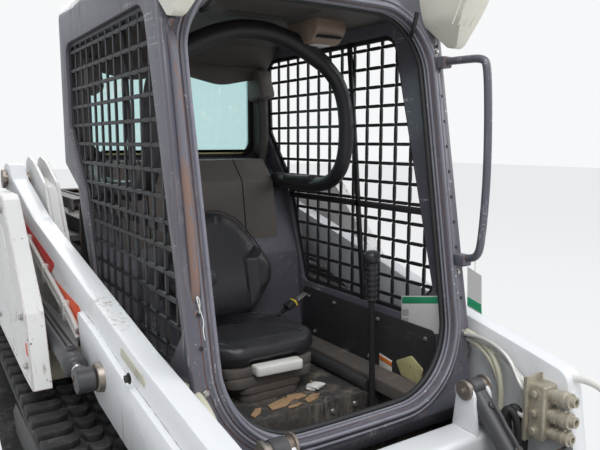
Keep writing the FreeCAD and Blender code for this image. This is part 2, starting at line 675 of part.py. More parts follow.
def face_y(height):
    """Y of the carrier plate's middle at a height."""
    return FRONT_END + CARRIER_PLATE / 2 + CARRIER_SLOPE * (height - CARRIER_LOW)


def carrier():
    """Quick-attach carrier: plate, ears, pins and cylinder lugs."""
    y, z = CARRIER_PIVOT
    pieces = []
    ear = [(face_y(CARRIER_LOW + 5), CARRIER_LOW + 5), (y + 40, z - 50, 30), (y + 55, z + 20, 40),
           (y, z + 75, 30), (face_y(CARRIER_HIGH - 30), CARRIER_HIGH - 30)]
    for side in (-1, 1):
        near = side * CARRIER_HALF
        far = near - side * EAR_THICK
        pieces.append(side_plate(ear, min(near, far), max(near, far)))
        pin_end = side * (ARM_OUT + DOUBLER_THICK + SIDE_GAP)
        low, high = sorted((far, pin_end))
        pieces.append(disc(low, high, CARRIER_PIVOT, CARRIER_PIN_RADIUS))
        head_end = pin_end + side * PIN_HEAD
        low, high = sorted((pin_end, head_end))
        pieces.append(drum(low, high, CARRIER_PIVOT, PIN_HEAD_RADIUS, 12))
    ey, ez = TILT_EYE
    lug = [(face_y(ez - 120), ez - 120), (ey + 10, ez - 34, 20), (ey + 34, ez, 30), (ey + 5, ez + 34, 20),
           (face_y(ez + 85), ez + 85)]
    for centre in (-TILT_PLANE, TILT_PLANE):
        for side in (-1, 1):
            near = centre + side * carrier_lug_in()
            far = near + side * LUG_PLATE
            pieces.append(side_plate(lug, min(near, far), max(near, far)))
            inner = centre + side * (TILT_EYE_WIDTH / 2 + SIDE_GAP)
            head = far + side * 8
            pieces.append(drum(min(inner, head), max(inner, head), TILT_EYE, 22.0, 8))
    return join(carrier_plate(), *pieces)


def carrier_levers():
    """Locking levers behind the plate, one a side, each with its hub, handle, link and wedge."""
    pieces = []
    for side in (-1, 1):
        x = side * 215.0
        skin = CARRIER_PLATE / 2
        pivot_z = 250.0
        stand_off = 26.0
        base = V(x, face_y(pivot_z) + skin, pivot_z)
        hub = rod(base, base + V(0, stand_off + 14, 0), 22, 8)
        reach = V(side * 30, 170 * CARRIER_SLOPE, 170)
        start = base + V(0, stand_off, 0)
        handle = rod(start, start + reach, 9, 6)
        grip = rod(start + reach * 0.75, start + reach * 1.08, 13, 6)
        wedge_z = CARRIER_LOW + 8
        link = rod(start, V(x, face_y(wedge_z + 70) + skin + 26, wedge_z + 70), 10, 6)
        wedge = side_plate([(face_y(wedge_z) + skin, wedge_z), (face_y(wedge_z) + skin + 30, wedge_z),
                            (face_y(wedge_z + 95) + skin + 38, wedge_z + 95), (face_y(wedge_z + 95) + skin, wedge_z + 95)],
                           x - WEDGE_RADIUS, x + WEDGE_RADIUS)
        pieces.append(join(hub, handle, grip, link, wedge).cut(carrier_plate()))
    return Part.makeCompound(pieces)


def cab_side_corners():
    """Side-view outline of the cab shell, from its front foot over the roof to the overhang behind."""
    y, z = CAB_HINGE
    return [(CAB_FRONT_LOW + 40, CAB_FLOOR), (CAB_FRONT_LOW, CAB_LOW, 20), (CAB_FRONT_LOW + 5, 560, 60),
            (CAB_FRONT_HIGH, CAB_TOP, 90), (CAB_REAR, CAB_TOP, 70), (CAB_REAR, z + 120, 20), (y - 40, z + 25, 20),
            (y - 65, z - 60, 20), (310, 850, 60), (260, CAB_FLOOR)]


def front_y(height):
    """Y of the cab's leaning front plane at a height."""
    low_y, low_z = CAB_FRONT_LOW + 5, 560
    return low_y + (CAB_FRONT_HIGH - low_y) * (height - low_z) / (CAB_TOP - low_z)


def cab_inner_corners(wall):
    """Side-view outline of the cab's inner space."""
    y, z = CAB_HINGE
    return [(CAB_FRONT_LOW + 40 + wall, CAB_FLOOR - 20), (CAB_FRONT_LOW + wall, CAB_LOW, 20),
            (CAB_FRONT_LOW + wall + 5, 560, 60), (CAB_FRONT_HIGH + wall + 10, CAB_TOP - wall, 60),
            (CAB_REAR - wall, CAB_TOP - wall, 60), (CAB_REAR - wall, z + 120 + wall * 0.6, 20),
            (y - 40 - wall * 0.8, z + 25 + wall * 0.6, 20), (y - 65 - wall, z - 50, 20), (310 - wall, 860, 60),
            (260 - wall, CAB_FLOOR - 20)]


def window_corners(inset=0.0):
    """Side-view outline of the side window, which the screen fills."""
    y, z = CAB_HINGE
    top = CAB_TOP - 186
    # y, z, corner radius, and the share of the inset along y and z
    rows = ((CAB_FRONT_LOW + 160, 850, 20, 1, 0.4), (CAB_FRONT_LOW + 270, 722, 30, 0.6, 1), (215, 722, 40, -1, 1),
            (y - 135, z + 10, 60, -1, 0.3), (CAB_REAR - 105, z + 260, 60, -1, 0), (CAB_REAR - 92, top, 60, -1, -1),
            (CAB_FRONT_HIGH + 145, top, 80, 1, -1))
    return [(a + inset * sa, b + inset * sb, max(r - inset, 4)) for a, b, r, sa, sb in rows]


def door_corners(grow=0.0):
    """Front-view outline of the door opening."""
    half = DOOR_HALF + grow
    low = DOOR_LOW - grow
    high = DOOR_HIGH + grow
    return [(-half, high, DOOR_CORNER + grow), (-half + DOOR_TAPER, low, DOOR_SILL_CORNER + grow),
            (half - DOOR_TAPER, low, DOOR_SILL_CORNER + grow), (half, high, DOOR_CORNER + grow)]


def door_channel(grow=0.0):
    """Raised channel round the door opening."""
    deep = 200.0
    ring = front_plate(door_corners(24.0 + grow), CAB_FRONT_LOW - 60, CAB_FRONT_HIGH + deep)
    ring = ring.cut(front_plate(door_corners(2.0), CAB_FRONT_LOW - 61, CAB_FRONT_HIGH + deep + 1))
    proud = 12.0
    skin = [(CAB_FRONT_LOW - proud, 480), (CAB_FRONT_LOW + 5 - proud, 560), (CAB_FRONT_HIGH - proud, CAB_TOP - 4),
            (CAB_FRONT_HIGH + 30, CAB_TOP - 4), (CAB_FRONT_LOW + 35, 560), (CAB_FRONT_LOW + 30, 480)]
    return ring.common(side_plate(skin, -CAB_HALF, CAB_HALF))


def post_flanges():
    """Flanges that stand out sideways along the front posts."""
    low, high = 640.0, CAB_TOP - 90.0
    outline = [(front_y(low), low), (front_y(high), high), (front_y(high) + FLANGE_DEEP, high + 8),
               (front_y(low) + FLANGE_DEEP, low - 20)]
    flange = side_plate(outline, CAB_HALF - 5, CAB_HALF + FLANGE_OUT)
    return [flange, mirrored(flange)]


def cab_frame():
    """Welded cab shell with the door opening, side windows and rear light cut out, and the seal channel."""
    front_view = [(-CAB_HALF, 380), (CAB_HALF, 380), (CAB_HALF, CAB_TOP + 1, 70), (-CAB_HALF, CAB_TOP + 1, 70)]
    outer = side_plate(cab_side_corners(), -CAB_HALF, CAB_HALF)
    outer = outer.common(front_plate(front_view, -1000, 700))
    outer = outer.cut(block(-600, 600, -900, 800, CAB_TOP - ROOF_THICK, CAB_TOP + 10))
    shell = outer.cut(side_plate(cab_inner_corners(CAB_WALL), -CAB_HALF + CAB_WALL, CAB_HALF - CAB_WALL))
    shell = shell.cut(front_plate(door_corners(), CAB_FRONT_LOW - 100, CAB_FRONT_HIGH + 150))
    shell = shell.cut(side_plate(window_corners(), -CAB_HALF - 5, CAB_HALF + 5))
    shell = shell.cut(front_plate(rear_light_corners(), CAB_REAR - 100, CAB_REAR + 100))
    y, z = CAB_HINGE
    ear = [(y - 42, z + 45), (y - 21, z - 2), (y - 8, z - 20), (y + 13, z - 20), (y + 20, z - 2), (y + 50, z + 75)]
    ears = [side_plate(ear, s * CAB_HINGE_X - HINGE_EAR / 2, s * CAB_HINGE_X + HINGE_EAR / 2) for s in (-1, 1)]
    shell = join(shell, door_channel(), *post_flanges(), *ears, *seat_bar_mounts())
    return shell.cut(disc(-CAB_HALF, CAB_HALF, CAB_HINGE, CAB_HINGE_PIN + RUNNING_FIT))


def rear_light_corners(inset=0.0):
    """Front-view outline of the rear window."""
    half = REAR_LIGHT_HALF - inset
    radius = REAR_LIGHT_CORNER - inset
    return [(-half, REAR_LIGHT_LOW + inset, radius), (half, REAR_LIGHT_LOW + inset, radius),
            (half, REAR_LIGHT_HIGH - inset, radius), (-half, REAR_LIGHT_HIGH - inset, radius)]


def cab_roof():
    """Roof skin with a shallow dish in its top."""
    front_view = [(-CAB_HALF, 380), (CAB_HALF, 380), (CAB_HALF, CAB_TOP + 1, 70), (-CAB_HALF, CAB_TOP + 1, 70)]
    roof = cab_solid().common(front_plate(front_view, -1000, 700))
    roof = roof.common(block(-600, 600, -900, 800, CAB_TOP - ROOF_THICK, CAB_TOP + 10))
    front = CAB_FRONT_HIGH + 85
    rear = CAB_REAR - 100
    side = CAB_HALF - 130
    plan = [(-side, front, 60), (side, front, 60), (side, rear, 60), (-side, rear, 60)]
    dish = face(plan, on_z(CAB_TOP - 16)).extrude(V(0, 0, 40))
    inside = block(-CAB_HALF + 60, CAB_HALF - 60, front, rear, CAB_TOP - ROOF_THICK - 1, CAB_TOP - 28)
    return roof.cut([dish, inside])


def side_screen():
    """Left perforated screen: a flat plate with rows of openings between its bars."""
    x_low = CAB_HALF - 22
    plate = side_plate(window_corners(0.3), x_low, x_low + SCREEN_DEPTH)
    corners = window_corners()
    y_front = min(c[0] for c in corners)
    y_rear = max(c[0] for c in corners)
    z_low = min(c[1] for c in corners)
    z_high = max(c[1] for c in corners)
    inner = side_plate(window_corners(16.0), x_low - 2, x_low + SCREEN_DEPTH + 2)
    holes = []
    for i in range(math.ceil((y_rear - y_front) / SCREEN_PITCH_Y)):
        for j in range(math.ceil((z_high - z_low) / SCREEN_PITCH_Z)):
            y = y_front + i * SCREEN_PITCH_Y
            z = z_low + j * SCREEN_PITCH_Z
            holes.append(block(x_low - 2, x_low + SCREEN_DEPTH + 2,
                               y + SCREEN_BAR / 2, y + SCREEN_PITCH_Y - SCREEN_BAR / 2,
                               z + SCREEN_BAR / 2, z + SCREEN_PITCH_Z - SCREEN_BAR / 2))
    cut = [h for h in Part.makeCompound(holes).common(inner).Solids if h.Volume > 4000]
    return plate.cut(cut)


def cab_floor():
    """Floor pan with the riser behind the heels."""
    half = CAB_HALF - CAB_WALL - 0.3
    front = CAB_FRONT_LOW + 40 + CAB_WALL + 2
    pan = block(-half, half, front, 215, CAB_FLOOR, CAB_FLOOR + 12)
    return pan


def seat_base():
    """Box that carries the seat, with the sliding suspension on it."""
    box = side_plate([(-430, CAB_FLOOR + 12), (-410, 560, 20), (170, 560, 10), (170, CAB_FLOOR + 12)], -270, 270)
    box = box.cut(side_plate([(-415, CAB_FLOOR + 11), (-396, 548, 20), (160, 548, 10), (160, CAB_FLOOR + 11)], -262, 262))
    rails = [block(x - 20, x + 20, -360, 90, 560, 590) for x in (-170, 170)]
    plate = block(-200, 200, -380, 190, 590, 625)
    return join(box, *rails, plate)


def seat_cushion():
    """Seat cushion."""
    return side_plate([(-470, 640, 40), (80, 625.3, 20), (94, 730, 40), (-440, 762, 60)], -SEAT_HALF, SEAT_HALF)


def seat_back():
    """Seat back, leaning."""
    return side_plate([(96, 625.3, 20), (180, 625.3, 30), (315, 1110, 45), (215, 1130, 45)], -SEAT_HALF + 10,
                      SEAT_HALF - 10)


def levers():
    """Steering levers beside the operator's knees, each with boot, shaft and grip."""
    pieces = []
    for side in (-1, 1):
        foot = V(side * 350, -430, CAB_FLOOR + 12)
        boot = rod(foot, foot + V(0, 0, 26), 46, 8)
        collar = rod(foot + V(0, 0, 26), foot + V(0, 0, 58), 30, 8)
        shaft = rod(foot + V(0, 0, 40), foot + V(-side * 10, -60, 430), 13, 8)
        grip = rod(foot + V(-side * 9, -56, 410), foot + V(-side * 12, -72, 520), 24, 8)
        knob = rod(foot + V(-side * 12, -72, 505), foot + V(-side * 12, -76, 560), 32, 8)
        pieces.append(join(boot, collar, shaft, grip, knob))
    return Part.makeCompound(pieces)


def seat_bar():
    """Seat bar, raised: arm rests from the pivots, side arms and the cross bar, and the pivot discs."""
    y, z = SEAT_BAR_PIVOT
    cy, cz = SEAT_BAR_CROSS
    half = SEAT_BAR_HALF
    left = [V(half, y, z), V(half, 20, 1215), V(half, -95, 1560), V(half - 60, cy + 60, cz - 30), V(half - 200, cy, cz)]
    points = left + [V(-p.x, p.y, p.z) for p in reversed(left)]
    tube = bent_tube(points, SEAT_BAR_RADIUS, [90, 110, 60, 60, 60, 60, 110, 90])
    pivots = [disc(s * half - SEAT_BAR_HUB, s * half + SEAT_BAR_HUB, SEAT_BAR_PIVOT, 34) for s in (-1, 1)]
    return join(tube, *pivots)


def seat_bar_mounts():
    """Plates inside the cab sides that carry the seat bar's hubs."""
    y, z = SEAT_BAR_PIVOT
    near = SEAT_BAR_HALF + SEAT_BAR_HUB + 0.3
    plate = side_plate([(y - 36, z - 36, 30), (y + 60, z - 50), (y + 95, z + 20), (y - 36, z + 36, 30)],
                       near, CAB_HALF - CAB_WALL + 1)
    return [plate, mirrored(plate)]


def cab_trim():
    """Headliner and the moulded rear trim below the window."""
    wall = CAB_WALL + 1
    rear = CAB_REAR - wall - 1
    front = CAB_FRONT_HIGH + 65
    liner = side_plate([(front, CAB_TOP - 141, 15), (front, CAB_TOP - 81), (rear, CAB_TOP - 81),
                        (rear, CAB_TOP - 231, 20), (rear - 90, CAB_TOP - 231, 30), (rear - 200, CAB_TOP - 141, 60)],
                       -CAB_HALF + wall, CAB_HALF - wall)
    side = SEAT_BAR_HALF - SEAT_BAR_RADIUS - 8
    lower = side_plate([(CAB_REAR, REAR_LIGHT_LOW - 12), (CAB_REAR, 900), (326, 860), (300, 860), (345, 1200, 30),
                        (440, REAR_LIGHT_LOW - 12)], -side, side)
    space = side_plate(cab_inner_corners(CAB_WALL + 0.3), -CAB_HALF + wall, CAB_HALF - wall)
    return Part.makeCompound([liner.common(space), lower.common(space)])


def front_lamps():
    """Lamp housings at the cab's upper front corners."""
    low = CAB_TOP - 300
    y = front_y(low)
    lamp = side_plate([(y + 55, low + 222), (y - 95, low + 218, 30), (y - 145, low + 180, 25), (y - 148, low + 55, 25),
                       (y - 112, low, 20), (y + 20, low)], CAB_HALF - 125, CAB_HALF + 30)
    return both_sides(lamp.cut([cab_solid(), door_channel(1.0), *post_flanges()]))


def cab_solid():
    """The cab's outer form, without its openings."""
    return side_plate(cab_side_corners(), -CAB_HALF, CAB_HALF)


def grab_handles():
    """Bent rail that stands forward of the left post, and the rail that lies along the right one."""
    x = CAB_HALF - 8
    low, high = 975.0, 1660.0
    y = front_y(high)
    points = [V(x, y + 20, high + 3), V(x, y - 222, high - 5), V(x, y - 240, 1250), V(x, y - 222, low + 35),
              V(x, front_y(low) + 40, low)]
    left = bent_tube(points, 14.0, [45.0, 400.0, 45.0])
    right = rod(V(-x, front_y(low) - 6, low), V(-x, front_y(high) - 6, high), 13.0)
    body = [cab_solid(), door_channel(), *post_flanges()]
    return Part.makeCompound([left.cut(body), right.cut(body)])


def rear_window():
    """Rear window pane."""
    y = CAB_REAR - 14
    return front_plate(rear_light_corners(0.3), y - GLASS_THICK, y)


def engine():
    """Engine and pump stack as one plain block on its feet."""
    block_ = block(-260, 260, REAR_END - 780, REAR_END - 180, BELLY + TUB_PLATE + 90, 820)
    feet = [block(x - 30, x + 30, y, y + 80, BELLY + TUB_PLATE, BELLY + TUB_PLATE + 95)
            for x in (-200, 200) for y in (REAR_END - 740, REAR_END - 300)]
    return join(block_, *feet)


def cooling_pack():
    """Radiator and oil cooler lying flat over the engine, on a shroud that rests between the towers."""
    half = TUB_HALF - 50
    high = SCREEN_LID_LOW - 55
    front = REAR_END - 750
    pack = block(-half, half, front, REAR_END - 170, high - 130, high)
    ledges = [block(min(s * half, s * TOWER_IN), max(s * half, s * TOWER_IN), front + 70, REAR_END - 240,
                    high - 90, high - 65) for s in (-1, 1)]
    return join(pack, *ledges)


def tanks():
    """Moulded tanks over the tracks, under the bay floors."""
    z_high = BAY_FLOOR - BAY_FLOOR_THICK
    tank = side_plate([(62, 522, 12), (62, z_high), (560, z_high), (560, 578, 12)], TRACK_IN + 12, FENDER_IN - 2)
    return both_sides(tank)


def tailgate():
    """Rear door with a louvred middle, hinged at the machine's right."""
    front = UPRIGHT_REAR + 2
    rear = front + TAILGATE_THICK
    door = front_plate([(-TAILGATE_HALF, TAILGATE_LOW, 20), (TAILGATE_HALF, TAILGATE_LOW, 20),
                        (TAILGATE_HALF, TAILGATE_HIGH, 60), (-TAILGATE_HALF, TAILGATE_HIGH, 60)], front, rear)
    hollow = front_plate([(-TAILGATE_HALF + 12, TAILGATE_LOW + 12), (TAILGATE_HALF - 12, TAILGATE_LOW + 12),
                          (TAILGATE_HALF - 12, TAILGATE_HIGH - 12, 50), (-TAILGATE_HALF + 12, TAILGATE_HIGH - 12, 50)],
                         front - 1, rear - 8)
    door = door.cut(hollow)
    slots = [block(-260, 260, rear - 20, rear + 5, z, z + 24) for z in range(640, 960, 53)]
    x, y = TAILGATE_HINGE
    knuckles = []
    for z in TAILGATE_KNUCKLES:
        knuckle = rod(V(x, y, z + 14.5), V(x, y, z + 58.5), 13, 8)
        knuckles.append(knuckle.fuse(block(x, -TAILGATE_HALF + 1, y - 6, y + 6, z + 14.5, z + 58.5)))
    door = join(door.cut(slots), *knuckles)
    return door.cut([Part.makeCylinder(TAILGATE_PIN + RUNNING_FIT, 60, V(x, y, z + 10)) for z in TAILGATE_KNUCKLES])


def top_screen():
    """Perforated screen over the coolers, hinged along its front edge."""
    rear = UPRIGHT_REAR - 20
    z = SCREEN_LID_LOW
    lid = block(-SCREEN_LID_HALF, SCREEN_LID_HALF, SCREEN_LID_FRONT, rear, z, z + SCREEN_LID_THICK)
    lid = lid.cut(block(-SCREEN_LID_HALF + 12, SCREEN_LID_HALF - 12, SCREEN_LID_FRONT + 12, rear - 12,
                        z - 1, z + SCREEN_LID_THICK - 8))
    slots = [block(x, x + 90, y, y + 250, z, z + SCREEN_LID_THICK + 2)
             for x in range(-440, 360, 158) for y in (SCREEN_LID_FRONT + 50, SCREEN_LID_FRONT + 340)]
    tube = disc(-SCREEN_LID_HALF, SCREEN_LID_HALF, (SCREEN_LID_FRONT, z + 20), 12)
    return join(lid.cut(slots), tube)


def tail_lamps():
    """Lamp clusters on the rear closing plates."""
    near = TOWER_OUT + 32
    far = near + 80
    lamp = front_plate([(near, 820, 15), (far, 820, 15), (far, 960, 15), (near, 960, 15)], UPRIGHT_REAR,
                       UPRIGHT_REAR + 28)
    return both_sides(lamp)


def coupler_block():
    """Auxiliary hydraulic block at the left knee, with three couplers that face forward."""
    front = CARRIER_PIVOT[0] + 30
    base = block(ARM_IN - 60, ARM_IN + 10, front, front + 65, 482, 668)
    base = base.cut(splayed(side_plate(arm_corners(), ARM_IN, ARM_OUT)))
    pieces = [base]
    for z in (514.0, 575.0, 636.0):
        start = V(ARM_IN - 32, front, z)
        pieces.append(rod(start, start + V(0, -62, 0), 22))
        pieces.append(rod(start, start + V(0, -90, 0), 16, 8))
    return join(*pieces)


def coupler_guard():
    """Bent tube that guards the couplers."""
    x = ARM_IN + 40
    y = CARRIER_PIVOT[0]
    points = [V(x, y + 30, 650), V(x, y - 118, 640), V(x, y - 133, 450), V(x, y - 10, 420)]
    tube = bent_tube(points, 13.0, 40.0)
    return tube.cut(splayed(side_plate(arm_corners(), ARM_IN, ARM_OUT)))


def hard_lines():
    """Steel lines clamped along the outside of each arm."""
    x = ARM_OUT + 11
    points = [V(x, 620, 985), V(x, 60, 800), V(x, -95, 742)]
    return both_sides(splayed(bent_tube(points, 11.0, 120.0)))


def build():
    """Make and write every node."""
    save_sides("track", track())
    save("track_wheels", Part.makeCompound(track_wheels() + [mirrored(w) for w in track_wheels()]))
    save("drive_sprockets", both_sides(sprocket()))
    save_sides("track_frame", Part.makeCompound(track_frame()))
    save("tub", tub())
    post = upright()
    save("upright_left", post)
    save("upright_right", join(mirrored(post), *tailgate_brackets()))
    save("cab_mounts", cab_mounts())
    save("arm_pivot_pins", both_sides(pivot_pin()))
    save_sides("lift_arm", lift_arm())
    save("arm_crossmember", crossmember())
    barrel, shaft = cylinder(LIFT_PLANE, LIFT_BASE, LIFT_EYE, LIFT_BARREL_RADIUS, LIFT_BARREL_LENGTH,
                             LIFT_ROD_RADIUS, LIFT_PIN_RADIUS, LIFT_EYE_WIDTH, LIFT_EYE_RADIUS, LIFT_ROD_START)
    save_sides("lift_cylinder_barrel", barrel)
    save_sides("lift_cylinder_rod", join(shaft, lift_pin()))
    barrel, shaft = cylinder(TILT_PLANE, TILT_BASE, TILT_EYE, TILT_BARREL_RADIUS, TILT_BARREL_LENGTH,
                             TILT_ROD_RADIUS, TILT_PIN_RADIUS, TILT_EYE_WIDTH, TILT_EYE_RADIUS, TILT_ROD_START)
    save_sides("tilt_cylinder_barrel", barrel)
    save_sides("tilt_cylinder_rod", shaft)
    save("carrier_frame", carrier())
    save("carrier_levers", carrier_levers())
    save("cab_frame", cab_frame())
    save("cab_roof", cab_roof())
    save_sides("side_screen", side_screen())
    save("rear_window", rear_window())
    save("cab_trim", cab_trim())
    save("cab_floor", cab_floor())
    save("seat_base", seat_base())
    save("seat_cushion", seat_cushion())
    save("seat_back", seat_back())
    save("control_levers", levers())
    save("seat_bar", seat_bar())
    save("front_lamps", front_lamps())
    save("grab_handles", grab_handles())
    save("engine_block", engine())
    save("cooling_pack", cooling_pack())
    save("side_tanks", tanks())
    save("tailgate", tailgate())
    save("top_screen", top_screen())
    save("tail_lamps", tail_lamps())
    save("coupler_block", coupler_block())
    save("coupler_guard", coupler_guard())
    save("arm_hard_lines", hard_lines())


build()
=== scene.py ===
"""Looks of the rubber-tracked loader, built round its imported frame."""

import json
import logging
import math
from collections.abc import Callable
from dataclasses import dataclass
from enum import Enum

import bpy
from mathutils import Matrix, Vector

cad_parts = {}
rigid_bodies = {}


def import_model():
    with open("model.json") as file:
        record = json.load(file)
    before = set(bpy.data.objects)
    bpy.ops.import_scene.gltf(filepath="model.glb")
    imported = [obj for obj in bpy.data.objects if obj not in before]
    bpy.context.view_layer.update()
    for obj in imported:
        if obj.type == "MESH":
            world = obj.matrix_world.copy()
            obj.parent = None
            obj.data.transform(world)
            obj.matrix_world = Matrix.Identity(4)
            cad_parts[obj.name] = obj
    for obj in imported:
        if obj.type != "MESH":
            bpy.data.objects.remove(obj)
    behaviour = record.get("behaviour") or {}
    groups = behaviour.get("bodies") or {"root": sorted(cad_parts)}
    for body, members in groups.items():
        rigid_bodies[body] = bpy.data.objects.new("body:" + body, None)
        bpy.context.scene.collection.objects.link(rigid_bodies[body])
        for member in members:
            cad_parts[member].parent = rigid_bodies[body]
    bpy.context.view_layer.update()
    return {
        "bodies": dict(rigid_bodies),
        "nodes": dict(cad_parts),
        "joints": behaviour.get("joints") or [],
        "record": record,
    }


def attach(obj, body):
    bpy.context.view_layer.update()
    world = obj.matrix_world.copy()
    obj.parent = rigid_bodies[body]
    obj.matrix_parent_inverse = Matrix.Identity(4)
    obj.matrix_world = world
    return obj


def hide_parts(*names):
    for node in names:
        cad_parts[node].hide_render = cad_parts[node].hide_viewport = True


log = logging.getLogger("loader")
Point = tuple[float, float, float]
Pair = tuple[float, float]
Outline = list[tuple[float, ...]]
Colour = tuple[float, float, float]
Socket = bpy.types.NodeSocket
Piece = bpy.types.Object


class Plane(Enum):
    """Plane that an outline is drawn in; the outline is then extruded along the remaining axis."""

    SIDE = 0
    FRONT = 1
    PLAN = 2


def clear_selection() -> None:
    """Leave edit mode and deselect everything."""
    if bpy.context.mode != "OBJECT":
        bpy.ops.object.mode_set(mode="OBJECT")
    bpy.ops.object.select_all(action="DESELECT")


def activate(piece: Piece) -> None:
    """Select one piece alone and make it active."""
    clear_selection()
    piece.select_set(True)
    bpy.context.view_layer.objects.active = piece


def settle(piece: Piece) -> Piece:
    """Apply a piece's place, so its object sits at the origin."""
    activate(piece)
    bpy.ops.object.transform_apply(location=True, rotation=True, scale=True)
    return piece


def modify(piece: Piece, kind: str, **values: object) -> Piece:
    """Add a modifier with the given values and apply it."""
    activate(piece)
    modifier = piece.modifiers.new(kind.title(), kind)
    for key, value in values.items():
        setattr(modifier, key, value)
    bpy.ops.object.modifier_apply(modifier=modifier.name)
    return piece


def bevelled(piece: Piece, width: float, segments: int = 2, angle: float = 35.0) -> Piece:
    """Round a piece's edges."""
    modify(piece, "BEVEL", width=width, segments=segments, limit_method="ANGLE",
           angle_limit=math.radians(angle), harden_normals=False)
    return smoothed(piece)


def smoothed(piece: Piece, angle: float = 38.0) -> Piece:
    """Shade a piece smooth where its faces meet at less than an angle."""
    activate(piece)
    bpy.ops.object.shade_smooth_by_angle(angle=math.radians(angle))
    return piece


def outward(piece: Piece, merge: float = 1e-5) -> Piece:
    """Merge doubles and turn all faces outwards."""
    activate(piece)
    bpy.ops.object.mode_set(mode="EDIT")
    bpy.ops.mesh.select_all(action="SELECT")
    bpy.ops.mesh.remove_doubles(threshold=merge)
    bpy.ops.mesh.normals_make_consistent(inside=False)
    bpy.ops.object.mode_set(mode="OBJECT")
    return piece


def rounded(corners: Outline, steps: int = 6) -> list[Pair]:
    """Outline with arcs at its corners.

    Args:
        corners: rows of (a, b) or (a, b, radius), in order.
        steps: pieces of each arc.

    Returns:
        The outline's points.
    """
    points: list[Pair] = []
    for index, corner in enumerate(corners):
        here = Vector(corner[:2])
        if len(corner) < 3 or corner[2] <= 0:
            points.append(tuple(here))
            continue
        before = (Vector(corners[index - 1][:2]) - here).normalized()
        after = (Vector(corners[(index + 1) % len(corners)][:2]) - here).normalized()
        half = before.angle(after) / 2
        back = corner[2] / math.tan(half)
        centre = here + (before + after).normalized() * corner[2] / math.sin(half)
        start = here + before * back - centre
        turn = start.angle_signed(here + after * back - centre)
        for step in range(steps + 1):
            angle = -turn * step / steps
            points.append((centre.x + start.x * math.cos(angle) - start.y * math.sin(angle),
                           centre.y + start.x * math.sin(angle) + start.y * math.cos(angle)))
    return points


def lift(plane: Plane, a: float, b: float, depth: float) -> Point:
    """Point of a plane at a depth along its normal axis."""
    return {Plane.SIDE: (depth, a, b), Plane.FRONT: (a, depth, b), Plane.PLAN: (a, b, depth)}[plane]


def slab(name: str, corners: Outline, plane: Plane, low: float, high: float,
         bevel: float = 0.0, steps: int = 6) -> Piece:
    """Extruded outline with rounded edges.

    Args:
        name: the piece's name.
        corners: outline rows as for rounded.
        plane: plane of the outline.
        low: depth where it starts.
        high: depth where it ends.
        bevel: width of the edge rounding, or 0.
        steps: pieces of each corner's arc.

    Returns:
        The piece.
    """
    outline = rounded(corners, steps)
    clear_selection()
    bpy.ops.mesh.primitive_circle_add(vertices=len(outline), fill_type="NGON", location=(0, 0, 0))
    piece = bpy.context.active_object
    piece.name = name
    for vertex, (a, b) in zip(piece.data.vertices, outline):
        vertex.co = lift(plane, a, b, low)
    bpy.ops.object.mode_set(mode="EDIT")
    bpy.ops.mesh.select_all(action="SELECT")
    bpy.ops.mesh.extrude_region_move(TRANSFORM_OT_translate={"value": lift(plane, 0, 0, high - low)})
    bpy.ops.object.mode_set(mode="OBJECT")
    outward(piece)
    return bevelled(piece, bevel) if bevel else piece


def brick(name: str, low: Point, high: Point, bevel: float = 0.002, segments: int = 2) -> Piece:
    """Box between two corners with rounded edges."""
    clear_selection()
    centre = (Vector(low) + Vector(high)) / 2
    bpy.ops.mesh.primitive_cube_add(size=1, location=centre)
    piece = bpy.context.active_object
    piece.name = name
    piece.scale = Vector(high) - Vector(low)
    settle(piece)
    return bevelled(piece, bevel, segments) if bevel else piece


def tube(name: str, points: list[Point], radius: float, closed: bool = False, order: int = 3,
         sides: int = 3) -> Piece:
    """Round tube along a smooth line through route points.

    Args:
        name: the piece's name.
        points: the route's points.
        radius: half the tube's width.
        closed: whether the line returns to its start.
        order: the spline's order; 2 keeps the route straight between its points.
        sides: bevel resolution.

    Returns:
        The tube as a mesh.
    """
    clear_selection()
    bpy.ops.curve.primitive_nurbs_path_add(location=(0, 0, 0))
    piece = bpy.context.active_object
    piece.name = name
    curve = piece.data
    curve.splines.clear()
    spline = curve.splines.new("NURBS")
    spline.points.add(len(points) - 1)
    for target, point in zip(spline.points, points):
        target.co = (*point, 1.0)
    spline.order_u = order
    spline.use_endpoint_u = not closed
    spline.use_cyclic_u = closed
    spline.resolution_u = 6 if order > 2 else 1
    curve.bevel_depth = radius
    curve.bevel_resolution = sides
    curve.use_fill_caps = True
    activate(piece)
    bpy.ops.object.convert(target="MESH")
    return smoothed(bpy.context.active_object, 50)


def turned(name: str, profile: list[Pair], base: Point, way: Point, steps: int = 24) -> Piece:
    """Solid of revolution made by spinning a closed profile.

    Args:
        name: the piece's name.
        profile: rows of (distance along the axis, radius).
        base: where the axis starts.
        way: the axis' direction.
        steps: steps of the spin.

    Returns:
        The piece.
    """
    clear_selection()
    bpy.ops.mesh.primitive_circle_add(vertices=len(profile), fill_type="NOTHING", location=(0, 0, 0))
    piece = bpy.context.active_object
    piece.name = name
    axis = Vector(way).normalized()
    side = axis.orthogonal().normalized()
    start = Vector(base)
    for vertex, (distance, radius) in zip(piece.data.vertices, profile):
        vertex.co = start + axis * distance + side * radius
    bpy.ops.object.mode_set(mode="EDIT")
    bpy.ops.mesh.select_all(action="SELECT")
    bpy.ops.mesh.spin(steps=steps, angle=math.tau, center=start, axis=axis)
    bpy.ops.object.mode_set(mode="OBJECT")
    outward(piece, 1e-5)
    return smoothed(piece, 40)


def copy_to(piece: Piece, name: str, shift: Point = (0, 0, 0), flip: bool = False) -> Piece:
    """Copy of a piece with a mesh of its own, moved, or mirrored across the machine's middle."""
    twin = piece.copy()
    twin.data = piece.data.copy()
    twin.name = name
    bpy.context.scene.collection.objects.link(twin)
    for vertex in twin.data.vertices:
        vertex.co += Vector(shift)
        if flip:
            vertex.co.x = -vertex.co.x
    if flip:
        twin.data.flip_normals()
    return twin


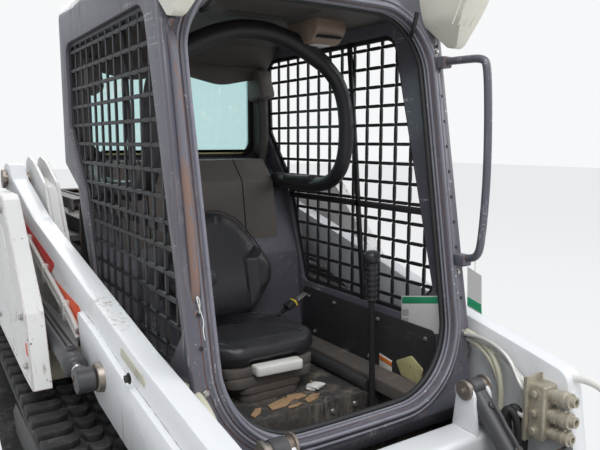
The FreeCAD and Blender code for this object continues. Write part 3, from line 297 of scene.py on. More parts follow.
def joined(name: str, pieces: list[Piece]) -> Piece:
    """Several pieces as one."""
    clear_selection()
    for piece in pieces:
        piece.select_set(True)
    bpy.context.view_layer.objects.active = pieces[0]
    if len(pieces) > 1:
        bpy.ops.object.join()
    pieces[0].name = name
    return pieces[0]


def bolt(base: Point, way: Point, radius: float = 0.011, name: str = "bolt") -> Piece:
    """Hexagon bolt head on a washer."""
    axis = Vector(way).normalized()
    washer = turned(name, [(0, 0), (0, radius * 1.35), (0.002, radius * 1.35), (0.002, 0)], base, way, 16)
    clear_selection()
    bpy.ops.mesh.primitive_cylinder_add(vertices=6, radius=radius, depth=radius * 0.9)
    head = bpy.context.active_object
    head.rotation_mode = "QUATERNION"
    head.rotation_quaternion = axis.to_track_quat("Z", "Y")
    head.location = Vector(base) + axis * (0.002 + radius * 0.45)
    settle(head)
    bevelled(head, radius * 0.12, 2)
    return joined(name, [washer, head])


def cut(piece: Piece, *cutters: Piece) -> Piece:
    """Take other solids out of a piece and delete them."""
    return combined(piece, "DIFFERENCE", *cutters)


def kept(piece: Piece, *limits: Piece) -> Piece:
    """Keep what a piece shares with other solids and delete them."""
    return combined(piece, "INTERSECT", *limits)


def combined(piece: Piece, operation: str, *others: Piece) -> Piece:
    """Boolean of a piece with other solids, which are deleted.

    Args:
        piece: the piece that is changed.
        operation: the Boolean modifier's operation.
        others: the solids that it is combined with.

    Returns:
        The piece.
    """
    for other in others:
        modify(piece, "BOOLEAN", operation=operation, object=other, solver="EXACT")
        bpy.data.objects.remove(other)
    return piece


def mirrored(piece: Piece, name: str) -> Piece:
    """The same piece on the machine's other side."""
    return copy_to(piece, name, flip=True)


def both(piece: Piece, name: str) -> Piece:
    """A piece and its mirror image as one."""
    return joined(name, [piece, mirrored(piece, name + "_right")])


class Graph:
    """Adds and links shader nodes in one tree."""

    def __init__(self, tree: bpy.types.NodeTree) -> None:
        """Wrap a node tree."""
        self.tree = tree

    def node(self, kind: str, **values: object) -> bpy.types.Node:
        """Add a node and set its properties."""
        made = self.tree.nodes.new(kind)
        for key, value in values.items():
            setattr(made, key, value)
        return made

    def feed(self, target: Socket, value: object) -> None:
        """Link a socket to a target, or write a plain value there."""
        if isinstance(value, bpy.types.NodeSocket):
            self.tree.links.new(value, target)
        else:
            target.default_value = value

    def math(self, operation: str, first: object, second: object = 0.0, clamp: bool = False) -> Socket:
        """Result of a Math node."""
        made = self.node("ShaderNodeMath", operation=operation, use_clamp=clamp)
        self.feed(made.inputs[0], first)
        self.feed(made.inputs[1], second)
        return made.outputs[0]

    def range(
            self, value: object, low: object, high: object, out_low: float = 0.0,
            out_high: float = 1.0) -> Socket:
        """Value mapped from one range to another, clamped and eased."""
        made = self.node("ShaderNodeMapRange", interpolation_type="SMOOTHSTEP")
        for target, given in zip(made.inputs, (value, low, high, out_low, out_high)):
            self.feed(target, given)
        return made.outputs[0]

    def noise(self, vector: Socket, scale: object, detail: float = 4.0, rough: float = 0.55,
              twist: float = 0.0) -> Socket:
        """Noise value."""
        made = self.node("ShaderNodeTexNoise")
        self.feed(made.inputs["Vector"], vector)
        self.feed(made.inputs["Scale"], scale)
        made.inputs["Detail"].default_value = detail
        made.inputs["Roughness"].default_value = rough
        made.inputs["Distortion"].default_value = twist
        return made.outputs["Fac"]

    def stretched(self, vector: Socket, stretch: Point, turn: Point = (0, 0, 0)) -> Socket:
        """Vector scaled and turned by a Mapping node."""
        made = self.node("ShaderNodeMapping")
        self.feed(made.inputs["Vector"], vector)
        made.inputs["Scale"].default_value = stretch
        made.inputs["Rotation"].default_value = turn
        return made.outputs[0]

    def mix(self, share: object, first: object, second: object) -> Socket:
        """Colour mix."""
        made = self.node("ShaderNodeMix", data_type="RGBA")
        colours = [s for s in made.inputs if s.type == "RGBA"]
        self.feed(made.inputs[0], share)
        for target, value in zip(colours, (first, second)):
            self.feed(target, (*value, 1.0) if isinstance(value, tuple) and len(value) == 3 else value)
        return next(s for s in made.outputs if s.type == "RGBA")


def effect(name: str, inputs: dict[str, float], build: Callable) -> bpy.types.NodeTree:
    """Shader node group with a Vector input, named numbers and one Mask output.

    Args:
        name: the group's name.
        inputs: number inputs and their defaults.
        build: takes the graph and the group's inputs, and returns the mask.

    Returns:
        The group.
    """
    tree = bpy.data.node_groups.new(name, "ShaderNodeTree")
    tree.interface.new_socket("Vector", in_out="INPUT", socket_type="NodeSocketVector")
    for key, value in inputs.items():
        tree.interface.new_socket(key, in_out="INPUT", socket_type="NodeSocketFloat").default_value = value
    tree.interface.new_socket("Mask", in_out="OUTPUT", socket_type="NodeSocketFloat")
    graph = Graph(tree)
    entry = graph.node("NodeGroupInput")
    leave = graph.node("NodeGroupOutput")
    graph.feed(leave.inputs[0], build(graph, entry.outputs))
    return tree


class Effects:
    """Surface effects that the finishes share."""

    def __init__(self) -> None:
        """Build the groups."""
        self.wear = effect("edge_wear", {"Width": 0.006, "Scale": 26.0, "Amount": 0.5}, self._wear)
        self.grime = effect("grime", {"Scale": 5.0, "Amount": 0.5}, self._grime)
        self.streaks = effect("streaks", {"Scale": 9.0, "Amount": 0.4}, self._streaks)
        self.scratches = effect("scratches", {"Scale": 6.0, "Amount": 0.4}, self._scratches)
        self.chips = effect("chips", {"Scale": 60.0, "Amount": 0.3}, self._chips)
        self.dust = effect("dust", {"Scale": 14.0, "Amount": 0.5}, self._dust)

    @staticmethod
    def _wear(graph: Graph, given: object) -> Socket:
        """Broken line along the edges."""
        soft = graph.node("ShaderNodeBevel", samples=4)
        graph.feed(soft.inputs["Radius"], given["Width"])
        sharp = graph.node("ShaderNodeNewGeometry")
        dot = graph.node("ShaderNodeVectorMath", operation="DOT_PRODUCT")
        graph.feed(dot.inputs[0], soft.outputs[0])
        graph.feed(dot.inputs[1], sharp.outputs["Normal"])
        edge = graph.range(dot.outputs["Value"], 0.995, 0.86)
        broken = graph.noise(given["Vector"], given["Scale"], 5.0, 0.65)
        wide = graph.noise(given["Vector"], 4.0, 3.0)
        level = graph.math("MULTIPLY", graph.math("ADD", broken, wide), given["Amount"])
        return graph.range(graph.math("ADD", graph.math("MULTIPLY", edge, 0.5), level), 0.82, 0.94)

    @staticmethod
    def _grime(graph: Graph, given: object) -> Socket:
        """Soft blotches of two sizes."""
        coarse = graph.noise(given["Vector"], given["Scale"], 6.0, 0.6, 0.4)
        fine = graph.noise(given["Vector"], graph.math("MULTIPLY", given["Scale"], 7.0), 5.0, 0.7)
        both = graph.math("ADD", graph.math("MULTIPLY", coarse, 0.65), graph.math("MULTIPLY", fine, 0.35))
        low = graph.math("SUBTRACT", 0.72, graph.math("MULTIPLY", given["Amount"], 0.42))
        return graph.range(both, low, graph.math("ADD", low, 0.22))

    @staticmethod
    def _streaks(graph: Graph, given: object) -> Socket:
        """Marks that run down the walls."""
        tall = graph.stretched(given["Vector"], (7.0, 7.0, 0.55))
        run = graph.noise(tall, given["Scale"], 4.0, 0.6)
        patch = graph.noise(given["Vector"], 3.0, 2.0)
        low = graph.math("SUBTRACT", 1.28, graph.math("MULTIPLY", given["Amount"], 0.45))
        return graph.range(graph.math("ADD", run, patch), low, graph.math("ADD", low, 0.2))

    @staticmethod
    def _scratches(graph: Graph, given: object) -> Socket:
        """Thin scratches that lie two ways."""
        lines = []
        for turn, stretch in (((0.5, 0.3, 0.2), (30.0, 30.0, 1.2)), ((0.2, -0.9, 0.7), (26.0, 1.0, 26.0))):
            laid = graph.stretched(given["Vector"], stretch, turn)
            lines.append(graph.noise(laid, given["Scale"], 2.0, 0.4))
        line = graph.math("MAXIMUM", lines[0], lines[1])
        patch = graph.noise(given["Vector"], 7.0, 3.0, 0.6)
        low = graph.math("SUBTRACT", 1.42, graph.math("MULTIPLY", given["Amount"], 0.3))
        return graph.range(graph.math("ADD", line, patch), low, graph.math("ADD", low, 0.07))

    @staticmethod
    def _chips(graph: Graph, given: object) -> Socket:
        """Small scattered spots."""
        cells = graph.node("ShaderNodeTexVoronoi")
        graph.feed(cells.inputs["Vector"], given["Vector"])
        graph.feed(cells.inputs["Scale"], given["Scale"])
        spot = graph.range(cells.outputs["Distance"], 0.32, 0.14)
        where = graph.noise(given["Vector"], 9.0, 4.0, 0.6)
        low = graph.math("SUBTRACT", 0.78, graph.math("MULTIPLY", given["Amount"], 0.35))
        return graph.math("MULTIPLY", spot, graph.range(where, low, graph.math("ADD", low, 0.06)))

    @staticmethod
    def _dust(graph: Graph, given: object) -> Socket:
        """Dust that lies on what faces up."""
        normal = graph.node("ShaderNodeNewGeometry")
        split = graph.node("ShaderNodeSeparateXYZ")
        graph.feed(split.inputs[0], normal.outputs["Normal"])
        up = graph.range(split.outputs["Z"], -0.2, 1.0, 0.25, 1.0)
        lie = graph.noise(given["Vector"], given["Scale"], 6.0, 0.65)
        low = graph.math("SUBTRACT", 0.8, graph.math("MULTIPLY", given["Amount"], 0.6))
        return graph.math("MULTIPLY", up, graph.range(lie, low, graph.math("ADD", low, 0.35)))


@dataclass(frozen=True)
class Finish:
    """Painted, moulded or bare surface with the marks of use."""

    name: str
    base: Colour
    rough: float = 0.45
    metal: float = 0.0
    shade: Colour = (0.2, 0.17, 0.14)
    grime: float = 0.3
    grime_scale: float = 5.0
    dust: Colour = (0.42, 0.38, 0.32)
    dusty: float = 0.2
    rust: Colour = (0.22, 0.09, 0.035)
    rusty: float = 0.0
    rust_width: float = 0.006
    rust_low: float = 0.0
    scratch: Colour = (0.45, 0.45, 0.47)
    scratched: float = 0.0
    streak: Colour = (0.1, 0.07, 0.05)
    streaky: float = 0.0
    chip: Colour = (0.1, 0.08, 0.07)
    chipped: float = 0.0
    grain: float = 0.0
    grain_scale: float = 400.0
    bump: float = 0.15
    bump_scale: float = 30.0
    coat: float = 0.0

    def material(self, effects: Effects) -> bpy.types.Material:
        """Build the finish as a node material.

        Args:
            effects: the shared groups.

        Returns:
            The material.
        """
        made = bpy.data.materials.new(self.name)
        made.use_nodes = True
        graph = Graph(made.node_tree)
        shader = made.node_tree.nodes["Principled BSDF"]
        place = graph.node("ShaderNodeTexCoord").outputs["Object"]

        def mask(group: bpy.types.NodeTree, **values: float) -> Socket:
            """Mask of one shared effect."""
            used = graph.node("ShaderNodeGroup", node_tree=group)
            graph.feed(used.inputs["Vector"], place)
            for key, value in values.items():
                used.inputs[key].default_value = value
            return used.outputs["Mask"]

        colour: object = (*self.base, 1.0)
        rough: object = self.rough
        height: object = graph.math("MULTIPLY", graph.noise(place, self.bump_scale, 4.0), self.bump)
        marks = (
            (self.grime, self.shade, 0.75, effects.grime, {"Scale": self.grime_scale, "Amount": self.grime}),
            (self.streaky, self.streak, 0.7, effects.streaks, {"Scale": 9.0, "Amount": self.streaky}),
            (self.scratched, self.scratch, 0.8, effects.scratches, {"Scale": 6.0, "Amount": self.scratched}),
            (self.chipped, self.chip, 0.9, effects.chips, {"Scale": 60.0, "Amount": self.chipped}),
            (self.dusty, self.dust, 0.75, effects.dust, {"Scale": 14.0, "Amount": self.dusty}),
            (self.rusty, self.rust, 0.95, effects.wear,
             {"Width": self.rust_width, "Scale": 26.0, "Amount": self.rusty}))
        for share, tint, strength, group, values in marks:
            if share <= 0.0:
                continue
            amount = graph.math("MULTIPLY", mask(group, **values), strength)
            colour = graph.mix(amount, colour, tint)
            worn = graph.math("MULTIPLY", amount, 0.85 - self.rough)
            rough = graph.math("ADD", rough, worn, True)
            if group is effects.wear:
                height = graph.math("SUBTRACT", height, graph.math("MULTIPLY", amount, 0.4))
        if self.rust_low > 0.0:
            split = graph.node("ShaderNodeSeparateXYZ")
            graph.feed(split.inputs[0], place)
            near = graph.range(split.outputs["Z"], self.rust_low, self.rust_low - 0.3)
            spread = mask(effects.grime, Scale=11.0, Amount=0.42)
            amount = graph.math("MULTIPLY", near, spread)
            tint = graph.mix(graph.noise(place, 40.0), self.rust, tuple(min(1.0, c * 2.6) for c in self.rust))
            colour = graph.mix(graph.math("MULTIPLY", amount, 0.85), colour, tint)
            rough = graph.math("ADD", rough, graph.math("MULTIPLY", amount, 0.3), True)
        if self.grain > 0.0:
            height = graph.math(
                "ADD", height, graph.math("MULTIPLY", graph.noise(place, self.grain_scale, 2.0), self.grain))
        bump = graph.node("ShaderNodeBump")
        bump.inputs["Strength"].default_value = 0.5
        bump.inputs["Distance"].default_value = 0.002
        graph.feed(bump.inputs["Height"], height)
        graph.feed(shader.inputs["Base Color"], colour)
        graph.feed(shader.inputs["Roughness"], rough)
        graph.feed(shader.inputs["Normal"], bump.outputs[0])
        shader.inputs["Metallic"].default_value = self.metal
        shader.inputs["Coat Weight"].default_value = self.coat
        return made


@dataclass(frozen=True)
class Pane:
    """Tinted glass."""

    name: str
    tint: Colour
    rough: float = 0.04

    def material(self, effects: Effects) -> bpy.types.Material:
        """Build the glass, dusty in blotches.

        Args:
            effects: the shared groups.

        Returns:
            The material.
        """
        made = bpy.data.materials.new(self.name)
        made.use_nodes = True
        graph = Graph(made.node_tree)
        shader = made.node_tree.nodes["Principled BSDF"]
        place = graph.node("ShaderNodeTexCoord").outputs["Object"]
        used = graph.node("ShaderNodeGroup", node_tree=effects.grime)
        graph.feed(used.inputs["Vector"], place)
        used.inputs["Amount"].default_value = 0.5
        graph.feed(shader.inputs["Base Color"], graph.mix(used.outputs["Mask"], self.tint, (0.75, 0.8, 0.76)))
        graph.feed(shader.inputs["Roughness"], graph.range(used.outputs["Mask"], 0.0, 1.0, self.rough, 0.35))
        shader.inputs["Transmission Weight"].default_value = 0.9
        shader.inputs["Alpha"].default_value = 0.62
        return made


FINISHES: tuple[Finish, ...] = (
    Finish("white_paint", (0.76, 0.775, 0.79), rough=0.34, shade=(0.50, 0.47, 0.43), grime=0.30,
           dust=(0.55, 0.52, 0.46), dusty=0.14, rust=(0.2, 0.08, 0.03), rusty=0.37, rust_width=0.004,
           streak=(0.42, 0.36, 0.29), streaky=0.20, chipped=0.27, scratch=(0.45, 0.43, 0.41),
           scratched=0.25, bump=0.10, coat=0.2),
    Finish("fender_paint", (0.75, 0.75, 0.735), rough=0.42, shade=(0.42, 0.37, 0.30), grime=0.40,
           dust=(0.48, 0.43, 0.35), dusty=0.25, rust=(0.2, 0.07, 0.03), rusty=0.44, rust_width=0.006,
           streak=(0.30, 0.22, 0.15), streaky=0.38, chipped=0.5, scratched=0.35, bump=0.15, coat=0.1),
    Finish("cab_paint", (0.105, 0.103, 0.128), rough=0.34, shade=(0.17, 0.165, 0.19), grime=0.45,
           grime_scale=7.0, dust=(0.3, 0.28, 0.27), dusty=0.22, rust=(0.21, 0.1, 0.055), rusty=0.44,
           rust_width=0.005, rust_low=0.62, scratch=(0.42, 0.41, 0.43), scratched=0.55,
           streak=(0.16, 0.15, 0.16), streaky=0.45, chip=(0.5, 0.49, 0.5), chipped=0.42, bump=0.25, bump_scale=60.0, coat=0.2),
    Finish("rib_paint", (0.19, 0.19, 0.225), rough=0.32, shade=(0.09, 0.085, 0.095), grime=0.5,
           grime_scale=12.0, dusty=0.2, rust=(0.24, 0.11, 0.05), rusty=0.4, chip=(0.6, 0.6, 0.62),
           chipped=0.55, scratch=(0.5, 0.5, 0.53), scratched=0.5, coat=0.2),
    Finish("rail_rust", (0.135, 0.135, 0.165), rough=0.45, shade=(0.19, 0.10, 0.06), grime=0.52,
           grime_scale=9.0, streak=(0.24, 0.13, 0.08), streaky=0.7, chip=(0.50, 0.30, 0.2), chipped=0.5,
           dusty=0.1, bump=0.4, bump_scale=90.0, coat=0.1),
    Finish("lining_paint", (0.035, 0.034, 0.036), rough=0.5, shade=(0.09, 0.08, 0.07), grime=0.4,
           dust=(0.2, 0.17, 0.14), dusty=0.3, scratch=(0.2, 0.19, 0.18), scratched=0.35),
    Finish("deck_paint", (0.045, 0.043, 0.043), rough=0.55, shade=(0.15, 0.125, 0.10), grime=0.62,
           grime_scale=9.0, dust=(0.30, 0.25, 0.19), dusty=0.55, scratch=(0.3, 0.28, 0.26), scratched=0.5,
           streak=(0.2, 0.18, 0.16), streaky=0.5),
    Finish("screen_paint", (0.018, 0.018, 0.02), rough=0.42, shade=(0.06, 0.055, 0.05), grime=0.25,
           dust=(0.2, 0.18, 0.15), dusty=0.15, rust=(0.16, 0.09, 0.05), rusty=0.3),
    Finish("black_paint", (0.025, 0.025, 0.027), rough=0.45, shade=(0.12, 0.1, 0.08), grime=0.4,
           dust=(0.28, 0.24, 0.19), dusty=0.35, rust=(0.15, 0.07, 0.03), rusty=0.42,
           scratch=(0.25, 0.24, 0.22), scratched=0.35),
    Finish("cylinder_paint", (0.06, 0.06, 0.065), rough=0.42, shade=(0.16, 0.14, 0.12), grime=0.45,
           dust=(0.3, 0.27, 0.22), dusty=0.35, rust=(0.2, 0.11, 0.05), rusty=0.35),
    Finish("track_rubber", (0.022, 0.022, 0.023), rough=0.72, shade=(0.10, 0.095, 0.088), grime=0.5,
           grime_scale=9.0, dust=(0.22, 0.20, 0.175), dusty=0.5, grain=0.4, grain_scale=260.0, bump=0.5,
           scratch=(0.15, 0.14, 0.13), scratched=0.3),
    Finish("wheel_iron", (0.07, 0.065, 0.06), rough=0.6, shade=(0.2, 0.16, 0.12), grime=0.55,
           dusty=0.5, rusty=0.45),
    Finish("chrome_rod", (0.72, 0.72, 0.73), rough=0.1, metal=1.0, shade=(0.4, 0.36, 0.3), grime=0.12,
           dusty=0.0, bump=0.0),
    Finish("pin_steel", (0.34, 0.3, 0.26), rough=0.45, metal=0.8, shade=(0.16, 0.1, 0.06), grime=0.55,
           dusty=0.2),
    Finish("bolt_zinc", (0.52, 0.51, 0.48), rough=0.35, metal=0.85, shade=(0.2, 0.15, 0.1), grime=0.4,
           dusty=0.1),
    Finish("line_steel", (0.62, 0.61, 0.58), rough=0.4, metal=0.35, shade=(0.3, 0.26, 0.2), grime=0.4,
           dusty=0.2, rusty=0.2),
    Finish("pale_tube", (0.62, 0.6, 0.47), rough=0.42, metal=0.2, shade=(0.3, 0.27, 0.17), grime=0.4,
           dusty=0.2, chipped=0.4),
    Finish("coupler_brass", (0.50, 0.46, 0.37), rough=0.42, metal=0.55, shade=(0.16, 0.11, 0.06), grime=0.55,
           dust=(0.4, 0.34, 0.26), dusty=0.35, rusty=0.35),
    Finish("tank_plastic", (0.58, 0.53, 0.42), rough=0.55, shade=(0.3, 0.24, 0.16), grime=0.5,
           dusty=0.45, streak=(0.25, 0.18, 0.1), streaky=0.45, grain=0.1),
    Finish("trim_plastic", (0.135, 0.118, 0.105), rough=0.6, shade=(0.22, 0.2, 0.17), grime=0.3,
           dust=(0.3, 0.27, 0.22), dusty=0.25, grain=0.25, grain_scale=600.0, scratch=(0.2, 0.18, 0.16),
           scratched=0.2),
    Finish("liner_plastic", (0.085, 0.075, 0.068), rough=0.62, shade=(0.14, 0.125, 0.11), grime=0.35,
           dusty=0.15, grain=0.2, grain_scale=600.0),
    Finish("pod_plastic", (0.27, 0.20, 0.15), rough=0.55, shade=(0.15, 0.11, 0.08), grime=0.45,
           dusty=0.2, grain=0.15),
    Finish("grip_plastic", (0.028, 0.028, 0.03), rough=0.42, shade=(0.09, 0.085, 0.08), grime=0.35,
           dust=(0.3, 0.28, 0.26), dusty=0.3, grain=0.2),
    Finish("seat_vinyl", (0.028, 0.028, 0.031), rough=0.34, shade=(0.075, 0.07, 0.07), grime=0.35,
           dust=(0.2, 0.18, 0.16), dusty=0.25, grain=0.35, grain_scale=520.0, bump=0.1,
           scratch=(0.16, 0.15, 0.15), scratched=0.2),
    Finish("suspension_plastic", (0.115, 0.10, 0.09), rough=0.6, shade=(0.2, 0.16, 0.12), grime=0.5,
           dust=(0.34, 0.28, 0.2), dusty=0.45),
    Finish("seal_rubber", (0.02, 0.02, 0.021), rough=0.6, shade=(0.07, 0.065, 0.06), grime=0.35,
           dust=(0.2, 0.18, 0.16), dusty=0.3),
    Finish("lens_cream", (0.82, 0.79, 0.68), rough=0.2, shade=(0.55, 0.5, 0.4), grime=0.35, dusty=0.2,
           chipped=0.4, chip=(0.2, 0.2, 0.16), coat=0.5, bump=0.3, bump_scale=120.0),
    Finish("red_paint", (0.55, 0.035, 0.03), rough=0.38, shade=(0.3, 0.06, 0.05), grime=0.35,
           dusty=0.12, scratch=(0.7, 0.6, 0.55), scratched=0.3),
    Finish("orange_paint", (0.68, 0.10, 0.035), rough=0.4, shade=(0.4, 0.1, 0.05), grime=0.35,
           dusty=0.15, scratch=(0.7, 0.6, 0.5), scratched=0.35, chip=(0.75, 0.7, 0.62), chipped=0.4),
    Finish("label_white", (0.72, 0.72, 0.69), rough=0.5, shade=(0.5, 0.48, 0.43), grime=0.35, dusty=0.1,
           bump=0.0),
    Finish("label_green", (0.03, 0.35, 0.17), rough=0.5, shade=(0.1, 0.25, 0.15), grime=0.3, dusty=0.1),
    Finish("label_orange", (0.72, 0.2, 0.04), rough=0.5, shade=(0.5, 0.2, 0.1), grime=0.3, dusty=0.1),
    Finish("pad_yellow", (0.60, 0.56, 0.28), rough=0.7, shade=(0.3, 0.26, 0.14), grime=0.55, dusty=0.2,
           chip=(0.1, 0.09, 0.06), chipped=0.7, grain=0.6, grain_scale=500.0),
    Finish("debris_wood", (0.40, 0.26, 0.14), rough=0.85, shade=(0.16, 0.1, 0.06), grime=0.55,
           streak=(0.15, 0.09, 0.05), streaky=0.5, dusty=0.2, bump=0.5),
    Finish("handle_white", (0.78, 0.77, 0.73), rough=0.4, shade=(0.5, 0.46, 0.4), grime=0.4, dusty=0.15),
    Finish("belt_web", (0.05, 0.048, 0.045), rough=0.8, shade=(0.11, 0.1, 0.09), grime=0.4, grain=0.5,
           grain_scale=700.0),
    Finish("tag_yellow", (0.62, 0.48, 0.06), rough=0.5, grime=0.2),
    Finish("tail_red", (0.4, 0.02, 0.02), rough=0.2, grime=0.15, coat=0.6),
    Finish("cooler_fins", (0.16, 0.16, 0.16), rough=0.5, metal=0.5, shade=(0.2, 0.17, 0.13), grime=0.5,
           dusty=0.5),
)


class Palette:
    """All materials by name."""

    def __init__(self) -> None:
        """Build every finish once."""
        effects = Effects()
        self.made = {finish.name: finish.material(effects) for finish in FINISHES}
        self.made["window_tint"] = Pane("window_tint", (0.36, 0.74, 0.72)).material(effects)
        self.made["lamp_clear"] = Pane("lamp_clear", (0.9, 0.9, 0.84), 0.1).material(effects)

    def __getitem__(self, name: str) -> bpy.types.Material:
        """Material of a name."""
        return self.made[name]


NODE_FINISH: dict[str, tuple[str, ...]] = {
    "white_paint": ("lift_arm_left", "lift_arm_right", "arm_crossmember", "tailgate"),
    "fender_paint": ("upright_left", "upright_right"),
    "cab_paint": ("cab_frame", "cab_roof", "grab_handles", "front_lamps"),
    "lining_paint": ("cab_floor", "seat_base"),
    "screen_paint": ("side_screen_left", "side_screen_right", "seat_bar"),
    "black_paint": ("carrier_frame", "top_screen", "track_frame_left", "track_frame_right",
        "drive_sprockets", "tub", "engine_block"),
    "cylinder_paint": ("lift_cylinder_barrel_left", "lift_cylinder_barrel_right",
        "tilt_cylinder_barrel_left", "tilt_cylinder_barrel_right"),
    "track_rubber": ("track_left", "track_right", "cab_mounts"), "wheel_iron": ("track_wheels",),
    "chrome_rod": ("lift_cylinder_rod_left", "lift_cylinder_rod_right", "tilt_cylinder_rod_left",
        "tilt_cylinder_rod_right"), "pin_steel": ("arm_pivot_pins", "carrier_levers"),
    "line_steel": ("arm_hard_lines",), "handle_white": ("coupler_guard",),
    "coupler_brass": ("coupler_block",), "tank_plastic": ("side_tanks",), "trim_plastic": ("cab_trim",),
    "grip_plastic": ("control_levers",), "seat_vinyl": ("seat_cushion", "seat_back"),
    "window_tint": ("rear_window",), "tail_red": ("tail_lamps",), "cooler_fins": ("cooling_pack",),}


def dress_nodes(nodes: dict[str, Piece], palette: Palette) -> None:
    """Give every CAD node its finish.

    Args:
        nodes: the CAD nodes by name.
        palette: the materials.
    """
    for finish, names in NODE_FINISH.items():
        for name in names:
            data = nodes[name].data
            data.materials.clear()
            data.materials.append(palette[finish])
            for face in data.polygons:
                face.material_index = 0


@dataclass
class Assembly:
    """Sub-assembly that dresses its pieces from the shared palette."""

    palette: Palette

    def put(self, piece: Piece, body: str, slot: str, finish: str, *replaced: str) -> Piece:
        """Dress a finished piece and let it ride on a body.

        Args:
            piece: the finished piece.
            body: the body that it rides on.
            slot: the record's slot of its finish; not used.
            finish: its material's name in the palette.
            replaced: CAD nodes that it stands for.

        Returns:
            The piece.
        """
        piece.data.materials.clear()
        piece.data.materials.append(self.palette[finish])
        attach(piece, body)
        if replaced:
            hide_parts(*replaced)
        log.info("%s rides on %s, %d faces", piece.name, body, len(piece.data.polygons))
        return piece


@dataclass
class Cab(Assembly):
    """Welded cab with its openings, seals, screens, lamps and rails."""

    half: float = 0.505
    wall: float = 0.038
    front_low: float = -0.80
    front_high: float = -0.545
    rear: float = 0.665
    top: float = 1.976
    roof_depth: float = 0.046
    door_half: float = 0.46
    door_taper: float = 0.018
    door_low: float = 0.525
    door_high: float = 1.826
    door_corner: float = 0.205
    sill_corner: float = 0.262
    flange: float = 0.02
    light_low: float = 1.318
    light_high: float = 1.79
    light_half: float = 0.41
    screen_x: float = 0.483
    screen_thick: float = 0.008
    cell: Pair = (0.0867, 0.075)
    bar: float = 0.013

    def front_y(self, height: float) -> float:
        """Y of the leaning front plane at a height."""
        low = self.front_low + 0.005
        return low + (self.front_high - low) * (height - 0.56) / (self.top - 0.56)

    def side_outline(self) -> Outline:
        """Outer outline from the side."""
        return [
            (self.front_low + 0.04, 0.405), (self.front_low, 0.47, 0.02),
            (self.front_low + 0.005, 0.56, 0.06), (self.front_high, self.top, 0.09),
            (self.rear, self.top, 0.07), (self.rear, 1.29, 0.02), (0.455, 1.195, 0.02), (0.43, 1.11, 0.02),
            (0.31, 0.85, 0.06), (0.26, 0.405)]

    def inner_outline(self) -> Outline:
        """Outline of the inner space from the side."""
        wall = self.wall
        return [
            (self.front_low + 0.04 + wall, 0.385), (self.front_low + wall, 0.47, 0.02),
            (self.front_low + wall + 0.005, 0.56, 0.06),
            (self.front_high + wall + 0.01, self.top - wall, 0.06),
            (self.rear - wall, self.top - wall, 0.06), (self.rear - wall, 1.29 + wall * 0.6, 0.02),
            (0.455 - wall * 0.8, 1.195 + wall * 0.6, 0.02), (0.43 - wall, 1.12, 0.02),
            (0.31 - wall, 0.86, 0.06), (0.26 - wall, 0.385)]

    def window_outline(self, inset: float = 0.0) -> Outline:
        """Outline of a side window."""
        rows = ((-0.64, 0.85, 0.02, 1, 0.4), (-0.53, 0.722, 0.03, 0.6, 1), (0.215, 0.722, 0.04, -1, 1),
                (0.36, 1.18, 0.06, -1, 0.3), (0.56, 1.43, 0.06, -1, 0), (0.573, 1.79, 0.06, -1, -1),
                (-0.40, 1.79, 0.08, 1, -1))
        return [(y + inset * a, z + inset * b, max(radius - inset, 0.004)) for y, z, radius, a, b in rows]

    def door_outline(self, grow: float = 0.0) -> Outline:
        """Outline of the door opening from the front."""
        half = self.door_half + grow
        low, high = self.door_low - grow, self.door_high + grow
        return [
            (-half, high, self.door_corner + grow), (-half + self.door_taper, low, self.sill_corner + grow),
            (half - self.door_taper, low, self.sill_corner + grow), (half, high, self.door_corner + grow)]

    def light_outline(self, inset: float = 0.0) -> Outline:
        """Outline of the rear window."""
        half, low, high = self.light_half - inset, self.light_low + inset, self.light_high - inset
        return [(-half, low, 0.07 - inset), (half, low, 0.07 - inset), (half, high, 0.07 - inset),
                (-half, high, 0.07 - inset)]

    def section(self) -> Piece:
        """Solid that rounds the roof's side edges."""
        return slab("section", [(-self.half, 0.38), (self.half, 0.38), (self.half, self.top + 0.001, 0.07),
                                (-self.half, self.top + 0.001, 0.07)], Plane.FRONT, -1.0, 0.8, steps=8)

    def solid(self) -> Piece:
        """Outer form without openings."""
        return slab("solid", self.side_outline(), Plane.SIDE, -self.half, self.half, steps=8)

    def along_door(self, grow: float, deep: float) -> list[Point]:
        """Route round the door opening on the leaning front plane."""
        return [(x, self.front_y(z) + deep, z) for x, z in rounded(self.door_outline(grow), 7)]

    def shell(self) -> None:
        """Posts, sides, rear wall and sill."""
        shell = kept(self.solid(), self.section())
        cut(
            shell, brick("over", (-0.6, -0.95, self.top - self.roof_depth), (0.6, 0.85, self.top + 0.05),
                0.0), slab("inner", self.inner_outline(), Plane.SIDE, -self.half + self.wall,
                self.half - self.wall),
            slab("door", self.door_outline(), Plane.FRONT, -0.95, -0.395, steps=14),
            slab("window", self.window_outline(), Plane.SIDE, -0.6, 0.6),
            slab("light", self.light_outline(), Plane.FRONT, 0.56, 0.77))
        bevelled(shell, 0.006, 3, 50)
        parts = [shell, *self.channel(), *self.flanges(), *self.ears()]
        self.put(joined("cab_shell", parts), "cab", "cab_paint", "cab_paint", "cab_frame")
        roof = kept(
            self.solid(), self.section(),
            brick("upper", (-0.6, -0.95, self.top - self.roof_depth), (0.6, 0.85, self.top + 0.02), 0.0))
        side = self.half - 0.13
        dish = slab("dish", [(-side, self.front_high + 0.085, 0.06), (side, self.front_high + 0.085, 0.06),
                             (side, self.rear - 0.1, 0.06), (-side, self.rear - 0.1, 0.06)], Plane.PLAN,
                    self.top - 0.016, self.top + 0.05)
        roof = bevelled(cut(roof, dish), 0.007, 3, 40)
        self.put(roof, "cab", "cab_paint", "cab_paint", "cab_roof")
        roof.name = "roof_skin"

